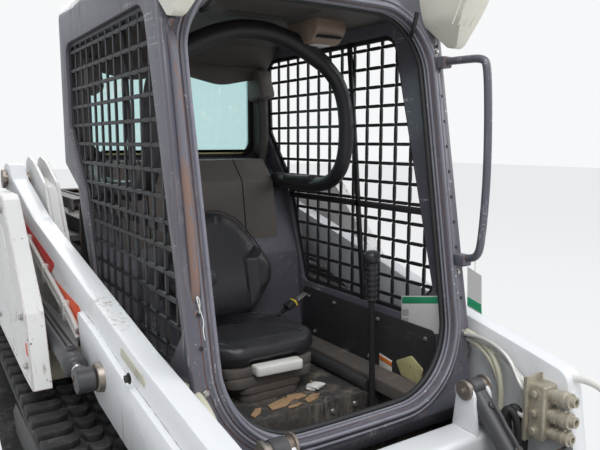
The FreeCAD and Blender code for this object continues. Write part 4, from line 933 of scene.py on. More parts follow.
    def channel(self) -> list[Piece]:
        """Raised steps round the door opening."""
        steps = []
        for index, (grow, proud) in enumerate(((0.024, 0.012), (0.046, 0.005))):
            ring = slab("ring", self.door_outline(grow), Plane.FRONT, -0.95, -0.345, steps=14)
            cut(ring, slab("gap", self.door_outline(0.001), Plane.FRONT, -0.96, -0.335, steps=14))
            skin = slab(
                "skin", [(self.front_low - proud, 0.49), (self.front_low + 0.005 - proud, 0.56),
                    (self.front_high - proud, self.top - 0.004), (self.front_high + 0.03, self.top - 0.004),
                    (self.front_low + 0.035, 0.56), (self.front_low + 0.03, 0.49)], Plane.SIDE, -self.half,
                self.half)
            steps.append(bevelled(kept(ring, skin), 0.004, 2, 50))
            steps[-1].name = f"channel_{index}"
        return steps

    def flanges(self) -> list[Piece]:
        """Flanges along the outside of the front posts."""
        low, high = 0.64, self.top - 0.09
        outline = [
            (self.front_y(low), low), (self.front_y(high), high), (self.front_y(high) + 0.034, high + 0.008),
            (self.front_y(low) + 0.034, low - 0.02)]
        left = slab("flange", outline, Plane.SIDE, self.half - 0.005, self.half + self.flange, 0.005)
        return [left, mirrored(left, "flange_right")]

    def ears(self) -> list[Piece]:
        """Hinge ears under the rear wall and the plates that carry the seat bar."""
        y, z = 0.495, 1.17
        ear = [
            (y - 0.042, z + 0.045), (y - 0.021, z - 0.002), (y - 0.008, z - 0.02, 0.008),
            (y + 0.013, z - 0.02, 0.008), (y + 0.02, z - 0.002), (y + 0.05, z + 0.075)]
        left = slab("ear", ear, Plane.SIDE, 0.316, 0.344, 0.002)
        y, z = 0.345, 1.2
        plate = slab("bar_plate", [(y - 0.036, z - 0.036, 0.03), (y + 0.06, z - 0.05), (y + 0.095, z + 0.02),
                                   (y - 0.036, z + 0.036, 0.03)], Plane.SIDE, 0.4393, 0.468, 0.002)
        return [left, mirrored(left, "ear_right"), plate, mirrored(plate, "bar_plate_right")]

    def seals(self) -> None:
        """Ribs, rubber seals and the holed strip that run round the door opening; the strip's holes are black
        discs of painted shade.
        """
        rows = ((0.010, -0.0125, 0.0058), (0.032, -0.0050, 0.0045), (-0.0005, 0.010, 0.0045),
                (-0.0005, 0.025, 0.0045))
        ribs = [tube("door_rib", self.along_door(grow, deep), radius, closed=True) for grow, deep, radius in rows]
        self.put(joined("door_ribs", ribs), "cab", "cab_paint", "rib_paint")
        rubber = tube("door_rubber", self.along_door(-0.002, 0.044), 0.010, closed=True)
        self.put(rubber, "cab", "mount_rubber", "seal_rubber")
        # The strip's holes are drawn as black discs: painted shade for the dark inside of each hole.
        rail = []
        for side in (-1, 1):
            x = side * (self.door_half + 0.036)
            for height in (0.84 + 0.088 * step for step in range(11)):
                rail.append(turned("hole_shade_disc", [(0, 0), (0, 0.006), (0.0025, 0.0055), (0.0025, 0)],
                                   (x, self.front_y(height) - 0.004, height), (0, -1, 0.0), 10))
        self.put(joined("post_hole_shades", rail), "cab", "cab_paint", "seal_rubber")

    def screens(self) -> None:
        """Perforated screens with their rims and stiffening bars."""
        wide, tall = self.cell
        columns, rows = 15, 15
        clear_selection()
        bpy.ops.mesh.primitive_grid_add(x_subdivisions=columns, y_subdivisions=rows, size=1)
        grid = bpy.context.active_object
        grid.name = "screen"
        for vertex in grid.data.vertices:
            a, b = vertex.co.x + 0.5, vertex.co.y + 0.5
            vertex.co = (
                self.screen_x + self.screen_thick / 2, -0.66 + a * columns * wide, 0.70 + b * rows * tall)
        bpy.ops.object.mode_set(mode="EDIT")
        bpy.ops.mesh.select_all(action="SELECT")
        bpy.ops.mesh.inset(thickness=self.bar / 2, depth=0.0, use_individual=True)
        bpy.ops.mesh.bevel(offset=0.009, segments=2, affect="VERTICES")
        bpy.ops.object.mode_set(mode="OBJECT")
        hole = 0.6 * (wide - self.bar) * (tall - self.bar)
        for face in grid.data.polygons:
            face.select = face.area > hole
        bpy.ops.object.mode_set(mode="EDIT")
        bpy.ops.mesh.select_mode(type="FACE")
        bpy.ops.mesh.delete(type="FACE")
        bpy.ops.object.mode_set(mode="OBJECT")
        modify(grid, "SOLIDIFY", thickness=self.screen_thick, offset=0.0)
        kept(grid, slab("limit", self.window_outline(0.004), Plane.SIDE, 0.44, 0.53))
        bevelled(grid, 0.0018, 1, 40)
        rim = slab(
            "rim", self.window_outline(0.0005), Plane.SIDE, self.screen_x - 0.001, self.screen_x + 0.010)
        cut(rim, slab("rim_gap", self.window_outline(0.018), Plane.SIDE, 0.44, 0.53))
        bars = [bevelled(rim, 0.002, 2, 50)]
        near, far = self.screen_x - 0.013, self.screen_x + 0.0005
        bars.append(
            slab("stiffener", [(-0.103, 1.79), (-0.127, 1.79), (-0.242, 0.722), (-0.218, 0.722)], Plane.SIDE,
                near, far, 0.003))
        bars.append(
            slab("stiffener", [(0.352, 1.142), (0.345, 1.116), (-0.62, 1.116), (-0.615, 1.142)], Plane.SIDE,
                near, far, 0.003))
        left = joined("side_screen_left_look", [grid, *bars])
        right = mirrored(left, "side_screen_right_look")
        self.put(left, "cab", "cab_paint", "screen_paint", "side_screen_left")
        self.put(right, "cab", "cab_paint", "screen_paint", "side_screen_right")

    def lamps(self) -> None:
        """Lamps at the upper front corners: dark housings with faceted pale lenses."""
        low = self.top - 0.278
        y = self.front_y(low)
        housing = slab(
            "front_lamp", [(y + 0.055, low + 0.232, 0.01), (y - 0.185, low + 0.225, 0.03),
                (y - 0.178, low + 0.15, 0.05), (y - 0.078, low - 0.018, 0.03), (y + 0.005, low - 0.014)],
            Plane.SIDE, 0.36, 0.56)
        kept(housing, slab("lamp_front", self.lamp_outline(low, 0.009, 0.028), Plane.FRONT, -0.95, -0.45))
        lens = slab(
            "lamp_lens", [(y + 0.035, low + 0.222), (y - 0.196, low + 0.215, 0.02),
                (y - 0.190, low + 0.15, 0.05), (y - 0.092, low, 0.03), (y - 0.055, low + 0.01),
                (y + 0.02, low + 0.09)], Plane.SIDE, 0.36, 0.56)
        kept(lens, slab("lens_front", self.lamp_outline(low, 0.0), Plane.FRONT, -0.95, -0.45))
        bevelled(housing, 0.006, 3, 40)
        bevelled(lens, 0.005, 3, 40)
        facets = [
            tube("facet", [(x, y - 0.1935, low + 0.20), (x * 0.985 + 0.008, y - 0.187, low + 0.15),
                    (x * 0.97 + 0.015, y - 0.14, low + 0.07)], 0.0022) for x in (0.42, 0.45, 0.48, 0.51)]
        facets += [
            tube("facet", [(0.405, y - 0.194, low + height), (0.53, y - 0.194, low + height)], 0.0022,
                order=2) for height in (0.155, 0.180, 0.205)]
        lens = joined("lamp_lens_left", [lens, *facets])
        stay = tube(
            "lamp_stay", [(0.395, y + 0.03, low + 0.05), (0.372, y - 0.01, low + 0.05),
                (0.37, y - 0.03, low + 0.12)], 0.008)
        body = joined("lamp_body_left", [housing, stay])
        other_lens = mirrored(lens, "lamp_lens_right")
        for piece in (lens, other_lens):
            self.put(piece, "cab", "lamp_body", "lens_cream")
        self.put(both(body, "lamp_housings"), "cab", "lamp_body", "screen_paint", "front_lamps")

    def lamp_outline(self, low: float, grow: float, shift: float = 0.0) -> Outline:
        """Front outline of a lamp, which narrows downwards; a shift brings its inner side outwards."""
        grow -= shift
        return [
            (0.497 - grow, low - grow, 0.025), (0.527 + grow + shift, low - grow - shift, 0.012),
            (0.541, low + 0.10, 0.1), (0.541, low + 0.25), (0.425 - grow, low + 0.25),
            (0.445 - grow, low + 0.10, 0.1)]

    def rails(self) -> None:
        """Grab rail that stands off the left post, and the rail that lies along the right one."""
        x, low, high = self.half - 0.008, 0.975, 1.66
        y = self.front_y(high)
        points = [
            (x, y + 0.02, high + 0.003), (x, y - 0.12, high + 0.001), (x, y - 0.205, high - 0.003),
            (x, y - 0.224, high - 0.03), (x, y - 0.236, 1.45), (x, y - 0.240, 1.25),
            (x, y - 0.228, low + 0.07), (x, y - 0.212, low + 0.02), (x, y - 0.17, low + 0.008),
            (x, self.front_y(low) + 0.03, low)]
        left = tube("grab_rail", points, 0.0135, sides=4)
        clamps = [
            brick("clamp", (x - 0.022, self.front_y(z) - 0.05, z - 0.02),
                (x + 0.022, self.front_y(z) + 0.01, z + 0.02), 0.006) for z in (high, low)]
        near = -x
        route = [
            (near, self.front_y(low) + 0.01, low - 0.012), (near, self.front_y(low) - 0.006, low),
            (near, self.front_y(low + 0.1) - 0.009, low + 0.1),
            (near, self.front_y(high - 0.1) - 0.009, high - 0.1), (near, self.front_y(high) - 0.006, high),
            (near, self.front_y(high) + 0.01, high + 0.012)]
        right = tube("grab_rail_right", route, 0.0125, sides=4)
        self.put(right, "cab", "white_paint", "rail_rust")
        self.put(joined("grab_rails", [left, *clamps]), "cab", "white_paint", "cab_paint", "grab_handles")
        tag = slab(
            "paper_tag", [(y - 0.172, 0.955), (y - 0.235, 0.935), (y - 0.242, 0.80), (y - 0.178, 0.815)],
            Plane.SIDE, x - 0.0005, x + 0.0005)
        band = slab(
            "tag_band", [(y - 0.1765, 0.85), (y - 0.239, 0.835), (y - 0.242, 0.805), (y - 0.178, 0.82)],
            Plane.SIDE, x - 0.0012, x + 0.0012)
        self.put(tag, "cab", "white_paint", "label_white")
        self.put(band, "cab", "white_paint", "label_green")
        rings = []
        for z in (1.70, 0.93):
            ring = turned(
                "rust_ring", [(0, 0), (0, 0.013), (0.0022, 0.0115), (0.0022, 0.006), (0.0010, 0.0055),
                    (0.0010, 0)], (near + 0.004, self.front_y(z) - 0.0005, z), (0, -1, 0.0), 20)
            rings.append(ring)
        self.put(joined("rust_rings", rings), "cab", "pin_steel", "rail_rust")
        place = self.front_y(0.93) - 0.004
        string = tube(
            "post_string", [(near + 0.004, place, 0.93), (near + 0.008, place - 0.004, 0.965),
                (near - 0.004, place, 0.985), (near + 0.001, place - 0.006, 0.95),
                (near + 0.016, place - 0.005, 0.91), (near + 0.008, place - 0.012, 0.885),
                (near + 0.014, place - 0.012, 0.86)], 0.0016)
        knot = tube(
            "tag_string", [(x, y - 0.205, low + 0.02), (x, y - 0.206, 0.96), (x, y - 0.205, 0.938)], 0.0016)
        self.put(joined("post_strings", [string, knot]), "cab", "white_paint", "label_white")
        heads = [bolt((side * (self.half - 0.012), self.front_y(z) - 0.0005, z), (0, -1, 0.0), 0.008)
                 for side, z in ((1, 0.93), (1, 1.70), (1, 0.72), (-1, 0.72))]
        self.put(joined("post_bolts", heads), "cab", "pin_steel", "bolt_zinc")

    def build(self) -> None:
        """Make the cab's outside."""
        self.shell()
        self.seals()
        self.screens()
        self.lamps()
        self.rails()


@dataclass
class Interior(Assembly):
    """Operator's place: lining, seat, bar, levers, labels without words and what lies about."""

    cab: Cab
    floor: float = 0.417
    lean: float = 13.3

    def lining(self) -> None:
        """Headliner with its pod, and the moulded trim below the rear window."""
        half = self.cab.half - self.cab.wall - 0.003
        top = self.cab.top
        rear = self.cab.rear - self.cab.wall - 0.002
        liner = slab("headliner", [(-0.478, top - 0.141, 0.015), (-0.478, top - 0.081), (rear, top - 0.081),
                                   (rear, top - 0.231, 0.02), (rear - 0.09, top - 0.231, 0.03),
                                   (rear - 0.2, top - 0.141, 0.06)], Plane.SIDE, -half, half, 0.006)
        lip = slab(
            "liner_lip", [(-0.44, top - 0.22), (-0.44, 1.70, 0.03), (-0.22, 1.655, 0.25), (0.0, 1.70, 0.25),
                (0.22, 1.655, 0.25), (0.44, 1.70, 0.03), (0.44, top - 0.22)], Plane.FRONT, rear - 0.085,
            rear - 0.03, 0.012)
        cut(liner, slab("vent", [(-0.14, top - 0.2), (0.14, top - 0.2), (0.14, top - 0.128, 0.02),
                                       (-0.14, top - 0.128, 0.02)], Plane.FRONT, -0.40, -0.16))
        self.put(joined("headliner", [liner, lip]), "cab", "trim_plastic", "liner_plastic")
        side = 0.377
        trim = slab(
            "rear_trim", [(0.613, 1.30, 0.01), (0.60, 1.272), (0.425, 1.19, 0.02), (0.395, 1.10, 0.02),
                (0.30, 0.862), (0.296, 0.872), (0.345, 1.2, 0.03), (0.44, 1.30, 0.02)], Plane.SIDE, -side,
            side, 0.005)
        grooves = [brick("groove", (x - 0.003, 0.25, 0.80), (x + 0.003, 0.62, 1.36), 0.0)
                   for x in (-0.25, -0.02, 0.21)]
        self.put(cut(trim, *grooves), "cab", "trim_plastic", "trim_plastic", "cab_trim")
        pillar = slab(
            "pillar", [(0.52, 1.30, 0.02), (0.618, 1.33, 0.02), (0.618, 1.84, 0.03), (0.53, 1.84, 0.03)],
            Plane.SIDE, 0.415, 0.462, 0.014)
        self.put(both(pillar, "rear_pillars"), "cab", "trim_plastic", "liner_plastic")
        pod = slab(
            "ceiling_pod", [(-0.30, 1.795, 0.03), (-0.29, 1.85), (-0.10, 1.86), (-0.07, 1.80, 0.03),
                (-0.12, 1.755, 0.03), (-0.25, 1.75, 0.03)], Plane.SIDE, 0.185, 0.325, 0.014)
        self.put(pod, "cab", "trim_plastic", "pod_plastic")
        vents = [
            brick("vent_bar", (0.198 + 0.016 * step, -0.295, 1.768), (0.206 + 0.016 * step, -0.14, 1.776),
                0.001) for step in range(7)]
        self.put(joined("pod_vents", vents), "cab", "trim_plastic", "seal_rubber")
        sheet = brick("pod_label", (0.215, -0.2405, 1.748), (0.29, -0.15, 1.7525), 0.0005)
        self.put(sheet, "cab", "trim_plastic", "label_white")
        speaker = slab(
            "corner_pod", [(0.44, 1.60, 0.02), (0.60, 1.58, 0.02), (0.61, 1.72, 0.02), (0.50, 1.74, 0.02)],
            Plane.SIDE, 0.38, 0.455, 0.012)
        self.put(both(speaker, "corner_pods"), "cab", "trim_plastic", "trim_plastic")

    def rear_glass(self) -> None:
        """Rear pane in its rubber frame."""
        y = self.cab.rear - 0.017
        pane = slab("rear_pane", self.cab.light_outline(0.0003), Plane.FRONT, y - 0.003, y + 0.003, 0.001, 8)
        self.put(pane, "cab", "window_glass", "window_tint", "rear_window")
        frame = slab("pane_seal", self.cab.light_outline(-0.014), Plane.FRONT, self.cab.rear - 0.052,
                     self.cab.rear - 0.036, steps=8)
        cut(frame, slab("seal_gap", self.cab.light_outline(0.016), Plane.FRONT, 0.5, 0.7, steps=8))
        self.put(bevelled(frame, 0.005, 3, 50), "cab", "mount_rubber", "seal_rubber")
        edge = slab(
            "pane_ledge", [(-0.36, 1.3225, 0.02), (0.36, 1.3225, 0.02), (0.36, 1.338, 0.006),
                (-0.36, 1.338, 0.006)], Plane.FRONT, self.cab.rear - 0.06, self.cab.rear - 0.050, 0.003)
        self.put(edge, "cab", "trim_plastic", "pad_yellow")

    def swelled(self, piece: Piece, cap: float, voxel: float = 0.007) -> Piece:
        """Fill a closed form like a cushion by a cloth simulation with pressure inside.

        Args:
            piece: the closed form, slightly smaller than the cushion.
            cap: the farthest that a point may move.
            voxel: size of the new mesh's faces.

        Returns:
            The cushion with its simulation applied.
        """
        modify(piece, "REMESH", mode="VOXEL", voxel_size=voxel)
        modify(piece, "SMOOTH", factor=0.5, iterations=6)
        start = [vertex.co.copy() for vertex in piece.data.vertices]
        activate(piece)
        cloth = piece.modifiers.new("Cloth", "CLOTH")
        cloth.settings.use_pressure = True
        cloth.settings.uniform_pressure_force = 4.0
        cloth.settings.effector_weights.gravity = 0.0
        scene = bpy.context.scene
        for frame in range(1, 21):
            scene.frame_set(frame)
        shape = piece.evaluated_get(bpy.context.evaluated_depsgraph_get()).to_mesh()
        end = [vertex.co.copy() for vertex in shape.vertices]
        piece.evaluated_get(bpy.context.evaluated_depsgraph_get()).to_mesh_clear()
        piece.modifiers.clear()
        for vertex, before, after in zip(piece.data.vertices, start, end):
            move = after - before
            vertex.co = before + move * min(1.0, cap / max(move.length, 1e-9))
        scene.frame_set(1)
        modify(piece, "SUBSURF", levels=1, render_levels=1)
        return smoothed(piece, 60)

    def seat(self) -> None:
        """Cushion and back with bolsters and sewn channels."""
        cushion = slab(
            "seat_pad", [(-0.19, 0.045, 0.04), (-0.235, -0.10, 0.12), (-0.240, -0.235, 0.09),
                (-0.15, -0.300, 0.14), (0.15, -0.300, 0.14), (0.240, -0.235, 0.09), (0.235, -0.10, 0.12),
                (0.19, 0.045, 0.04)], Plane.PLAN, 0.556, 0.632, 0.030)
        notch = brick("notch", (-0.105, -0.36, 0.52), (0.12, -0.268, 0.578), 0.012, 3)
        cut(cushion, notch)
        self.swelled(cushion, 0.010)
        for vertex in cushion.data.vertices:
            x, y, z = vertex.co
            if z > 0.60:
                share = min(1.0, (z - 0.60) / 0.03)
                panel = 0.085 + 0.065 * min(1.0, max(0.0, (0.03 - y) / 0.22))
                bolster = min(1.0, max(0.0, abs(x) - panel) / 0.06)
                groove = math.exp(-((abs(x) - panel) / 0.004) ** 2) * (y > -0.235)
                groove += math.exp(-((y + 0.235) / 0.004) ** 2) * (abs(x) < panel)
                vertex.co.z += share * (
                    0.012 * bolster - 0.006 * min(1.0, groove) + 0.03 * max(0.0, -0.14 - y))
        self.put(cushion, "cab", "seat_vinyl", "seat_vinyl", "seat_cushion")
        half_outline = [
            (0.0, 1.083), (0.055, 1.075, 0.06), (0.118, 1.040, 0.08), (0.162, 0.992, 0.12),
            (0.204, 0.930, 0.2), (0.262, 0.835, 0.035), (0.252, 0.770, 0.05), (0.198, 0.705, 0.12),
            (0.140, 0.625, 0.03)]
        outline = half_outline + [(-row[0], *row[1:]) for row in reversed(half_outline[1:])]
        lean = math.tan(math.radians(self.lean))
        back = slab("seat_rest", outline, Plane.FRONT, 0.010, 0.075, 0.020)
        self.swelled(back, 0.009)
        for vertex in back.data.vertices:
            x, y, z = vertex.co
            if y < 0.045:
                panel = 0.118 + 0.085 * max(0.0, z - 0.87) / 0.06 * (z < 0.96)
                side = min(1.0, max(0.0, abs(x) - panel) / 0.05) * (z < 0.95)
                near = math.exp(-((abs(x) - panel) / 0.0045) ** 2) * (z < 0.93)
                vertex.co.y += -0.026 * side * min(1.0, max(0.0, 0.95 - z) / 0.06) + 0.009 * near
                vertex.co.y -= 0.012 * math.exp(-((z - 0.74) / 0.07) ** 2) * (abs(x) < panel)
                vertex.co.y += 0.16 * max(0.0, abs(x) - 0.06) ** 2 * (z > 0.95)
        for vertex in back.data.vertices:
            vertex.co.y += 0.098 + lean * (vertex.co.z - 0.605)
        self.put(back, "cab", "seat_vinyl", "seat_vinyl", "seat_back")
        shell = slab(
            "back_shell", [(row[0] * 0.93, 0.62 + (row[1] - 0.62) * 0.975, *row[2:]) for row in outline],
            Plane.FRONT, 0.068, 0.088, 0.006)
        for vertex in shell.data.vertices:
            vertex.co.y += 0.098 + lean * (vertex.co.z - 0.605)
        self.put(shell, "cab", "seat_vinyl", "trim_plastic")
        piping = [(x * 1.004, 0.098 + 0.034 + lean * (z - 0.605), z + 0.002) for x, z in rounded(outline, 4)
                  if z > 0.72]
        right = [row for row in piping if row[0] >= 0.0]
        left = [row for row in piping if row[0] < 0.0]
        seam = tube("back_piping", left + right, 0.0032)
        self.put(seam, "cab", "seat_vinyl", "grip_plastic")

    def suspension(self) -> None:
        """Stepped seat base and white handle."""
        tiers = []
        for half, front, low, high in ((0.125, -0.285, self.floor, 0.452), (0.135, -0.290, 0.452, 0.482),
                                       (0.185, -0.292, 0.482, 0.520), (0.192, -0.285, 0.520, 0.556)):
            tiers.append(
                slab("tier", [(-half, front + 0.02, 0.03), (-half + 0.03, front, 0.03),
                        (half - 0.03, front, 0.03), (half, front + 0.02, 0.03), (half, 0.04, 0.02),
                        (-half, 0.04, 0.02)], Plane.PLAN, low, high, 0.005))
        self.put(joined("seat_plinth", tiers), "cab", "black_paint", "suspension_plastic", "seat_base")
        handle = slab("seat_handle", [(-0.090, -0.325, 0.015), (0.105, -0.340, 0.015), (0.108, -0.285, 0.01),
                                      (-0.090, -0.272, 0.01)], Plane.PLAN, 0.528, 0.566, 0.007)
        self.put(bevelled(handle, 0.002), "cab", "white_paint", "handle_white")

    def bar(self) -> None:
        """Seat bar in foam, with its arm pads and pivot brackets."""
        half = 0.41
        side = [
            (half, 0.345, 1.2), (half, 0.18, 1.192), (half, 0.06, 1.19), (half, -0.05, 1.205),
            (half, -0.125, 1.24), (half, -0.175, 1.31), (half, -0.190, 1.43), (half - 0.006, -0.178, 1.55),
            (half - 0.035, -0.17, 1.625), (half - 0.096, -0.17, 1.685), (half - 0.21, -0.17, 1.75),
            (0.09, -0.17, 1.783), (0.03, -0.17, 1.79)]
        points = side + [(-x, y, z) for x, y, z in reversed(side)]
        loop = tube("bar_loop", points, 0.031, sides=5)
        head = [row for row in points if row[2] > 1.65]
        sleeve = tube("bar_sleeve", head, 0.035, sides=5)
        pads = [
            slab("arm_pad", [(0.03, 1.178, 0.02), (0.27, 1.172, 0.02), (0.27, 1.232, 0.02),
                    (0.03, 1.238, 0.02)], Plane.SIDE, half - 0.030, half + 0.026, 0.015)]
        pads.append(mirrored(pads[0], "arm_pad_right"))
        hubs = [
            turned("hub", [(0, 0), (0, 0.034), (0.004, 0.036), (0.054, 0.036), (0.058, 0.034), (0.058, 0)],
                (sign * (half - 0.029), 0.345, 1.2), (sign, 0, 0)) for sign in (-1, 1)]
        self.put(
            joined("seat_bar_loop", [loop, sleeve, *pads, *hubs]), "seat_bar", "grip_plastic",
            "screen_paint", "seat_bar")
        plates = []
        for sign in (-1, 1):
            for height in (1.18, 1.225):
                plates.append(bolt((sign * 0.439, 0.395, height), (-sign, 0, 0), 0.008))
        self.put(joined("bar_plate_bolts", plates), "cab", "pin_steel", "bolt_zinc")

    def levers(self) -> None:
        """Steering levers with bellows, grips and knobs."""
        pieces = []
        for sign in (-1, 1):
            foot = Vector((sign * 0.35, -0.452, self.floor - 0.115))
            head = Vector((sign * 0.338, -0.446, 0.977))
            way = (head - foot).normalized()
            span = (head - foot).length
            pieces.append(
                turned("lever", [(0, 0), (0, 0.03), (0.01, 0.03), (0.014, 0.0115), (span * 0.70, 0.0115),
                        (span * 0.71, 0.015), (span * 0.72, 0.0185), (span * 0.93, 0.021),
                        (span * 0.935, 0.026), (span * 0.945, 0.031), (span * 0.975, 0.033),
                        (span * 0.99, 0.029), (span, 0.018), (span, 0)], tuple(foot), tuple(way), 28))
            rings = [(span * (0.72 + 0.03 * step), 0.0215 + 0.0003 * step) for step in range(7)]
            for distance, radius in rings:
                pieces.append(
                    turned("grip_ring", [(0, 0.012), (0, radius), (0.004, radius + 0.001), (0.008, radius),
                            (0.008, 0.012)], tuple(foot + way * distance), tuple(way), 28))
            knob = brick(
                "switch", tuple(head + Vector((-0.012, -0.036, -0.022))),
                tuple(head + Vector((0.012, -0.026, 0.0))), 0.003)
            pieces.append(knob)
        self.put(joined("lever_set", pieces), "cab", "grip_plastic", "grip_plastic", "control_levers")

    def panels(self) -> None:
        """Lower side panels with bolts, pads and labels without words, duct, ledges and the floor pan."""
        x = 0.466
        inner = slab(
            "lower_panel", [(-0.68, 0.43), (-0.66, 0.70, 0.02), (0.20, 0.70, 0.02), (0.21, 0.43)],
            Plane.SIDE, x - 0.008, x, 0.003)
        duct = tube(
            "duct", [(0.352, -0.425, 0.436), (0.350, -0.30, 0.440), (0.345, -0.10, 0.444),
                (0.34, 0.16, 0.446)], 0.026, sides=5)
        self.put(
            both(joined("side_lining", [inner, duct]), "side_linings"), "cab", "cab_paint", "lining_paint")
        heads = [
            bolt((sign * (x - 0.008), y, z), (-sign, 0, 0), 0.007) for sign in (-1, 1) for y,
            z in ((-0.62, 0.66), (-0.35, 0.67), (-0.05, 0.67), (0.15, 0.66), (-0.30, 0.50), (0.10, 0.50))]
        ledge = slab(
            "ledge", [(0.374, self.floor - 0.002), (0.378, self.floor + 0.05, 0.01),
                (x - 0.004, self.floor + 0.062, 0.01), (x - 0.004, self.floor - 0.002)], Plane.FRONT, -0.70,
            0.20, 0.003)
        self.put(both(ledge, "side_ledges"), "cab", "cab_paint", "suspension_plastic")
        for spot in (
                (0.285, -0.4245, 0.378), (0.180, -0.4245, 0.372), (-0.180, -0.4245, 0.372),
                (-0.285, -0.4245, 0.378)):
            heads.append(bolt(spot, (0, -1, 0), 0.009))
        self.put(joined("lining_bolts", heads), "cab", "pin_steel", "bolt_zinc")
        at = x - 0.0095
        rows = (
            ("label_panel", "label_white", [(-0.365, 0.475), (-0.44, 0.465), (-0.44, 0.52), (-0.365, 0.53)]),
            ("label_band", "label_orange", [(-0.365, 0.505), (-0.44, 0.496), (-0.44, 0.515),
                    (-0.365, 0.524)]), ("knee_pad", "pad_yellow",
                [(-0.465, 0.53, 0.01), (-0.50, 0.48, 0.01), (-0.60, 0.475, 0.01), (-0.615, 0.54, 0.01),
                    (-0.55, 0.575, 0.01)]))
        for index, (name, finish, outline) in enumerate(rows):
            thick = 0.0008 * (index + 1)
            self.put(slab(name, outline, Plane.SIDE, at - thick, at + 0.002, 0.0003), "cab", "trim_plastic",
                  finish)
        screen = self.cab.half - self.cab.wall - 0.0015
        card = slab(
            "screen_label", [(-0.478, 0.793, 0.006), (-0.676, 0.835, 0.006), (-0.682, 0.694, 0.006),
                (-0.483, 0.641, 0.006)], Plane.SIDE, screen - 0.001, screen, 0.0003)
        self.put(card, "cab", "trim_plastic", "label_white")
        head = slab(
            "screen_label_head", [(-0.483, 0.790), (-0.672, 0.830), (-0.672, 0.806), (-0.483, 0.764)],
            Plane.SIDE, screen - 0.0018, screen - 0.0008, 0.0002)
        self.put(head, "cab", "trim_plastic", "label_green")
        boxes = [
            slab("label_box", [(-0.487, 0.742 - 0.034 * step), (-0.522, 0.750 - 0.034 * step),
                    (-0.522, 0.724 - 0.034 * step), (-0.487, 0.716 - 0.034 * step)], Plane.SIDE,
                screen - 0.0018, screen - 0.0008) for step in range(3)]
        self.put(joined("label_boxes", boxes), "cab", "trim_plastic", "line_steel")
        half = self.cab.half - self.cab.wall - 0.002
        deck_front, well, low = -0.42, 0.415, self.floor - 0.118
        pan = [
            brick("deck", (-half, deck_front, 0.405), (half, 0.215, self.floor), 0.003),
            brick("deck_front", (-0.372, deck_front - 0.004, low),
                (0.372, deck_front + 0.004, self.floor - 0.0005), 0.002),
            brick("well", (-well, -0.708, low - 0.008), (well, deck_front, low), 0.002),
            brick("well_front", (-well, -0.712, low), (well, -0.706, 0.413), 0.001)]
        for sign in (-1, 1):
            near, far = sorted((sign * well, sign * (well + 0.004)))
            pan.append(brick("well_side", (near, -0.708, low), (far, deck_front, 0.413), 0.001))
            near, far = sorted((sign * well, sign * half))
            pan.append(brick("sill", (near, -0.715, 0.405), (far, deck_front + 0.002, self.floor), 0.002))
            near, far = sorted((sign * 0.37, sign * well))
            pan.append(
                brick("side_front", (near, deck_front - 0.003, low), (far, deck_front + 0.003, 0.416),
                    0.001))
        self.put(joined("floor_pan", pan), "cab", "cab_paint", "deck_paint", "cab_floor")

    def belt(self) -> None:
        """Seat belt with its buckle, and the strap that hangs at the pillar."""
        strap = tube("strap_route", [(0.40, 0.50, 1.60), (0.405, 0.495, 1.45), (0.40, 0.50, 1.25)], 0.004)
        for vertex in strap.data.vertices:
            vertex.co.x = 0.40 + (vertex.co.x - 0.40) * 5.0
        stalk = tube("belt_stalk", [(0.225, 0.08, 0.60), (0.235, 0.05, 0.635), (0.250, 0.02, 0.660)], 0.010)
        buckle = brick("belt_buckle", (-0.030, -0.022, -0.014), (0.030, 0.022, 0.014), 0.006)
        tongue = brick("belt_tongue", (0.028, -0.016, -0.002), (0.085, 0.016, 0.002), 0.0015)
        band = brick("buckle_tag", (0.006, -0.0225, -0.0145), (0.024, 0.0225, 0.0145), 0.006)
        for piece in (buckle, tongue, band):
            piece.data.transform(
                Matrix.Translation((0.262, 0.0, 0.682)) @ Matrix.Rotation(math.radians(-28), 4, "Y"))
        lap = tube(
            "lap_belt", [(0.10, 0.05, 0.652), (0.16, 0.02, 0.655), (0.215, 0.0, 0.648), (0.250, 0.01, 0.60),
                (0.245, 0.03, 0.54)], 0.0025)
        for vertex in lap.data.vertices:
            vertex.co.y = 0.02 + (vertex.co.y - 0.02) * 1.6
        self.put(joined("seat_belt", [strap, lap, stalk]), "cab", "seat_vinyl", "belt_web")
        self.put(buckle, "cab", "grip_plastic", "grip_plastic")
        self.put(band, "cab", "grip_plastic", "tag_yellow")
        self.put(tongue, "cab", "pin_steel", "bolt_zinc")

    def litter(self) -> None:
        """Wood flakes and the crumpled white piece that lie in the cab."""
        flakes = []
        for x, y, angle, length, wide in ((-0.005, -0.352, 12, 0.125, 0.055), (0.122, -0.372, 22, 0.09, 0.04),
                                          (0.075, -0.330, -18, 0.08, 0.045), (0.03, -0.395, 5, 0.07, 0.018),
                                          (-0.12, -0.37, 40, 0.08, 0.03), (0.20, -0.25, 60, 0.05, 0.015)):
            flake = slab(
                "flake", [(-length / 2, -wide * 0.3), (0, -wide / 2), (length / 2, -wide * 0.1),
                    (length * 0.3, wide / 2), (-length * 0.4, wide * 0.35)], Plane.PLAN, 0.0, 0.005, 0.0008)
            spin = Matrix.Rotation(math.radians(angle), 4, "Z") @ Matrix.Rotation(math.radians(3), 4, "X")
            flake.data.transform(Matrix.Translation((x, y, self.floor + 0.002)) @ spin)
            flakes.append(flake)
        self.put(joined("wood_flakes", flakes), "cab", "trim_plastic", "debris_wood")
        clear_selection()
        bpy.ops.mesh.primitive_ico_sphere_add(subdivisions=3, radius=0.032, location=(0, 0, 0))
        lump = bpy.context.active_object
        lump.name = "crumpled_paper"
        for vertex in lump.data.vertices:
            x, y, z = vertex.co / 0.032
            fold = 1.0 + 0.22 * math.sin(5 * x + 3 * z) * math.cos(4 * y - 2 * z) + 0.1 * math.sin(11 * x * y)
            vertex.co = Vector((0.186 + vertex.co.x * fold * 1.2, -0.30 + vertex.co.y * fold * 0.7,
                                0.430 + vertex.co.z * fold * 0.4))
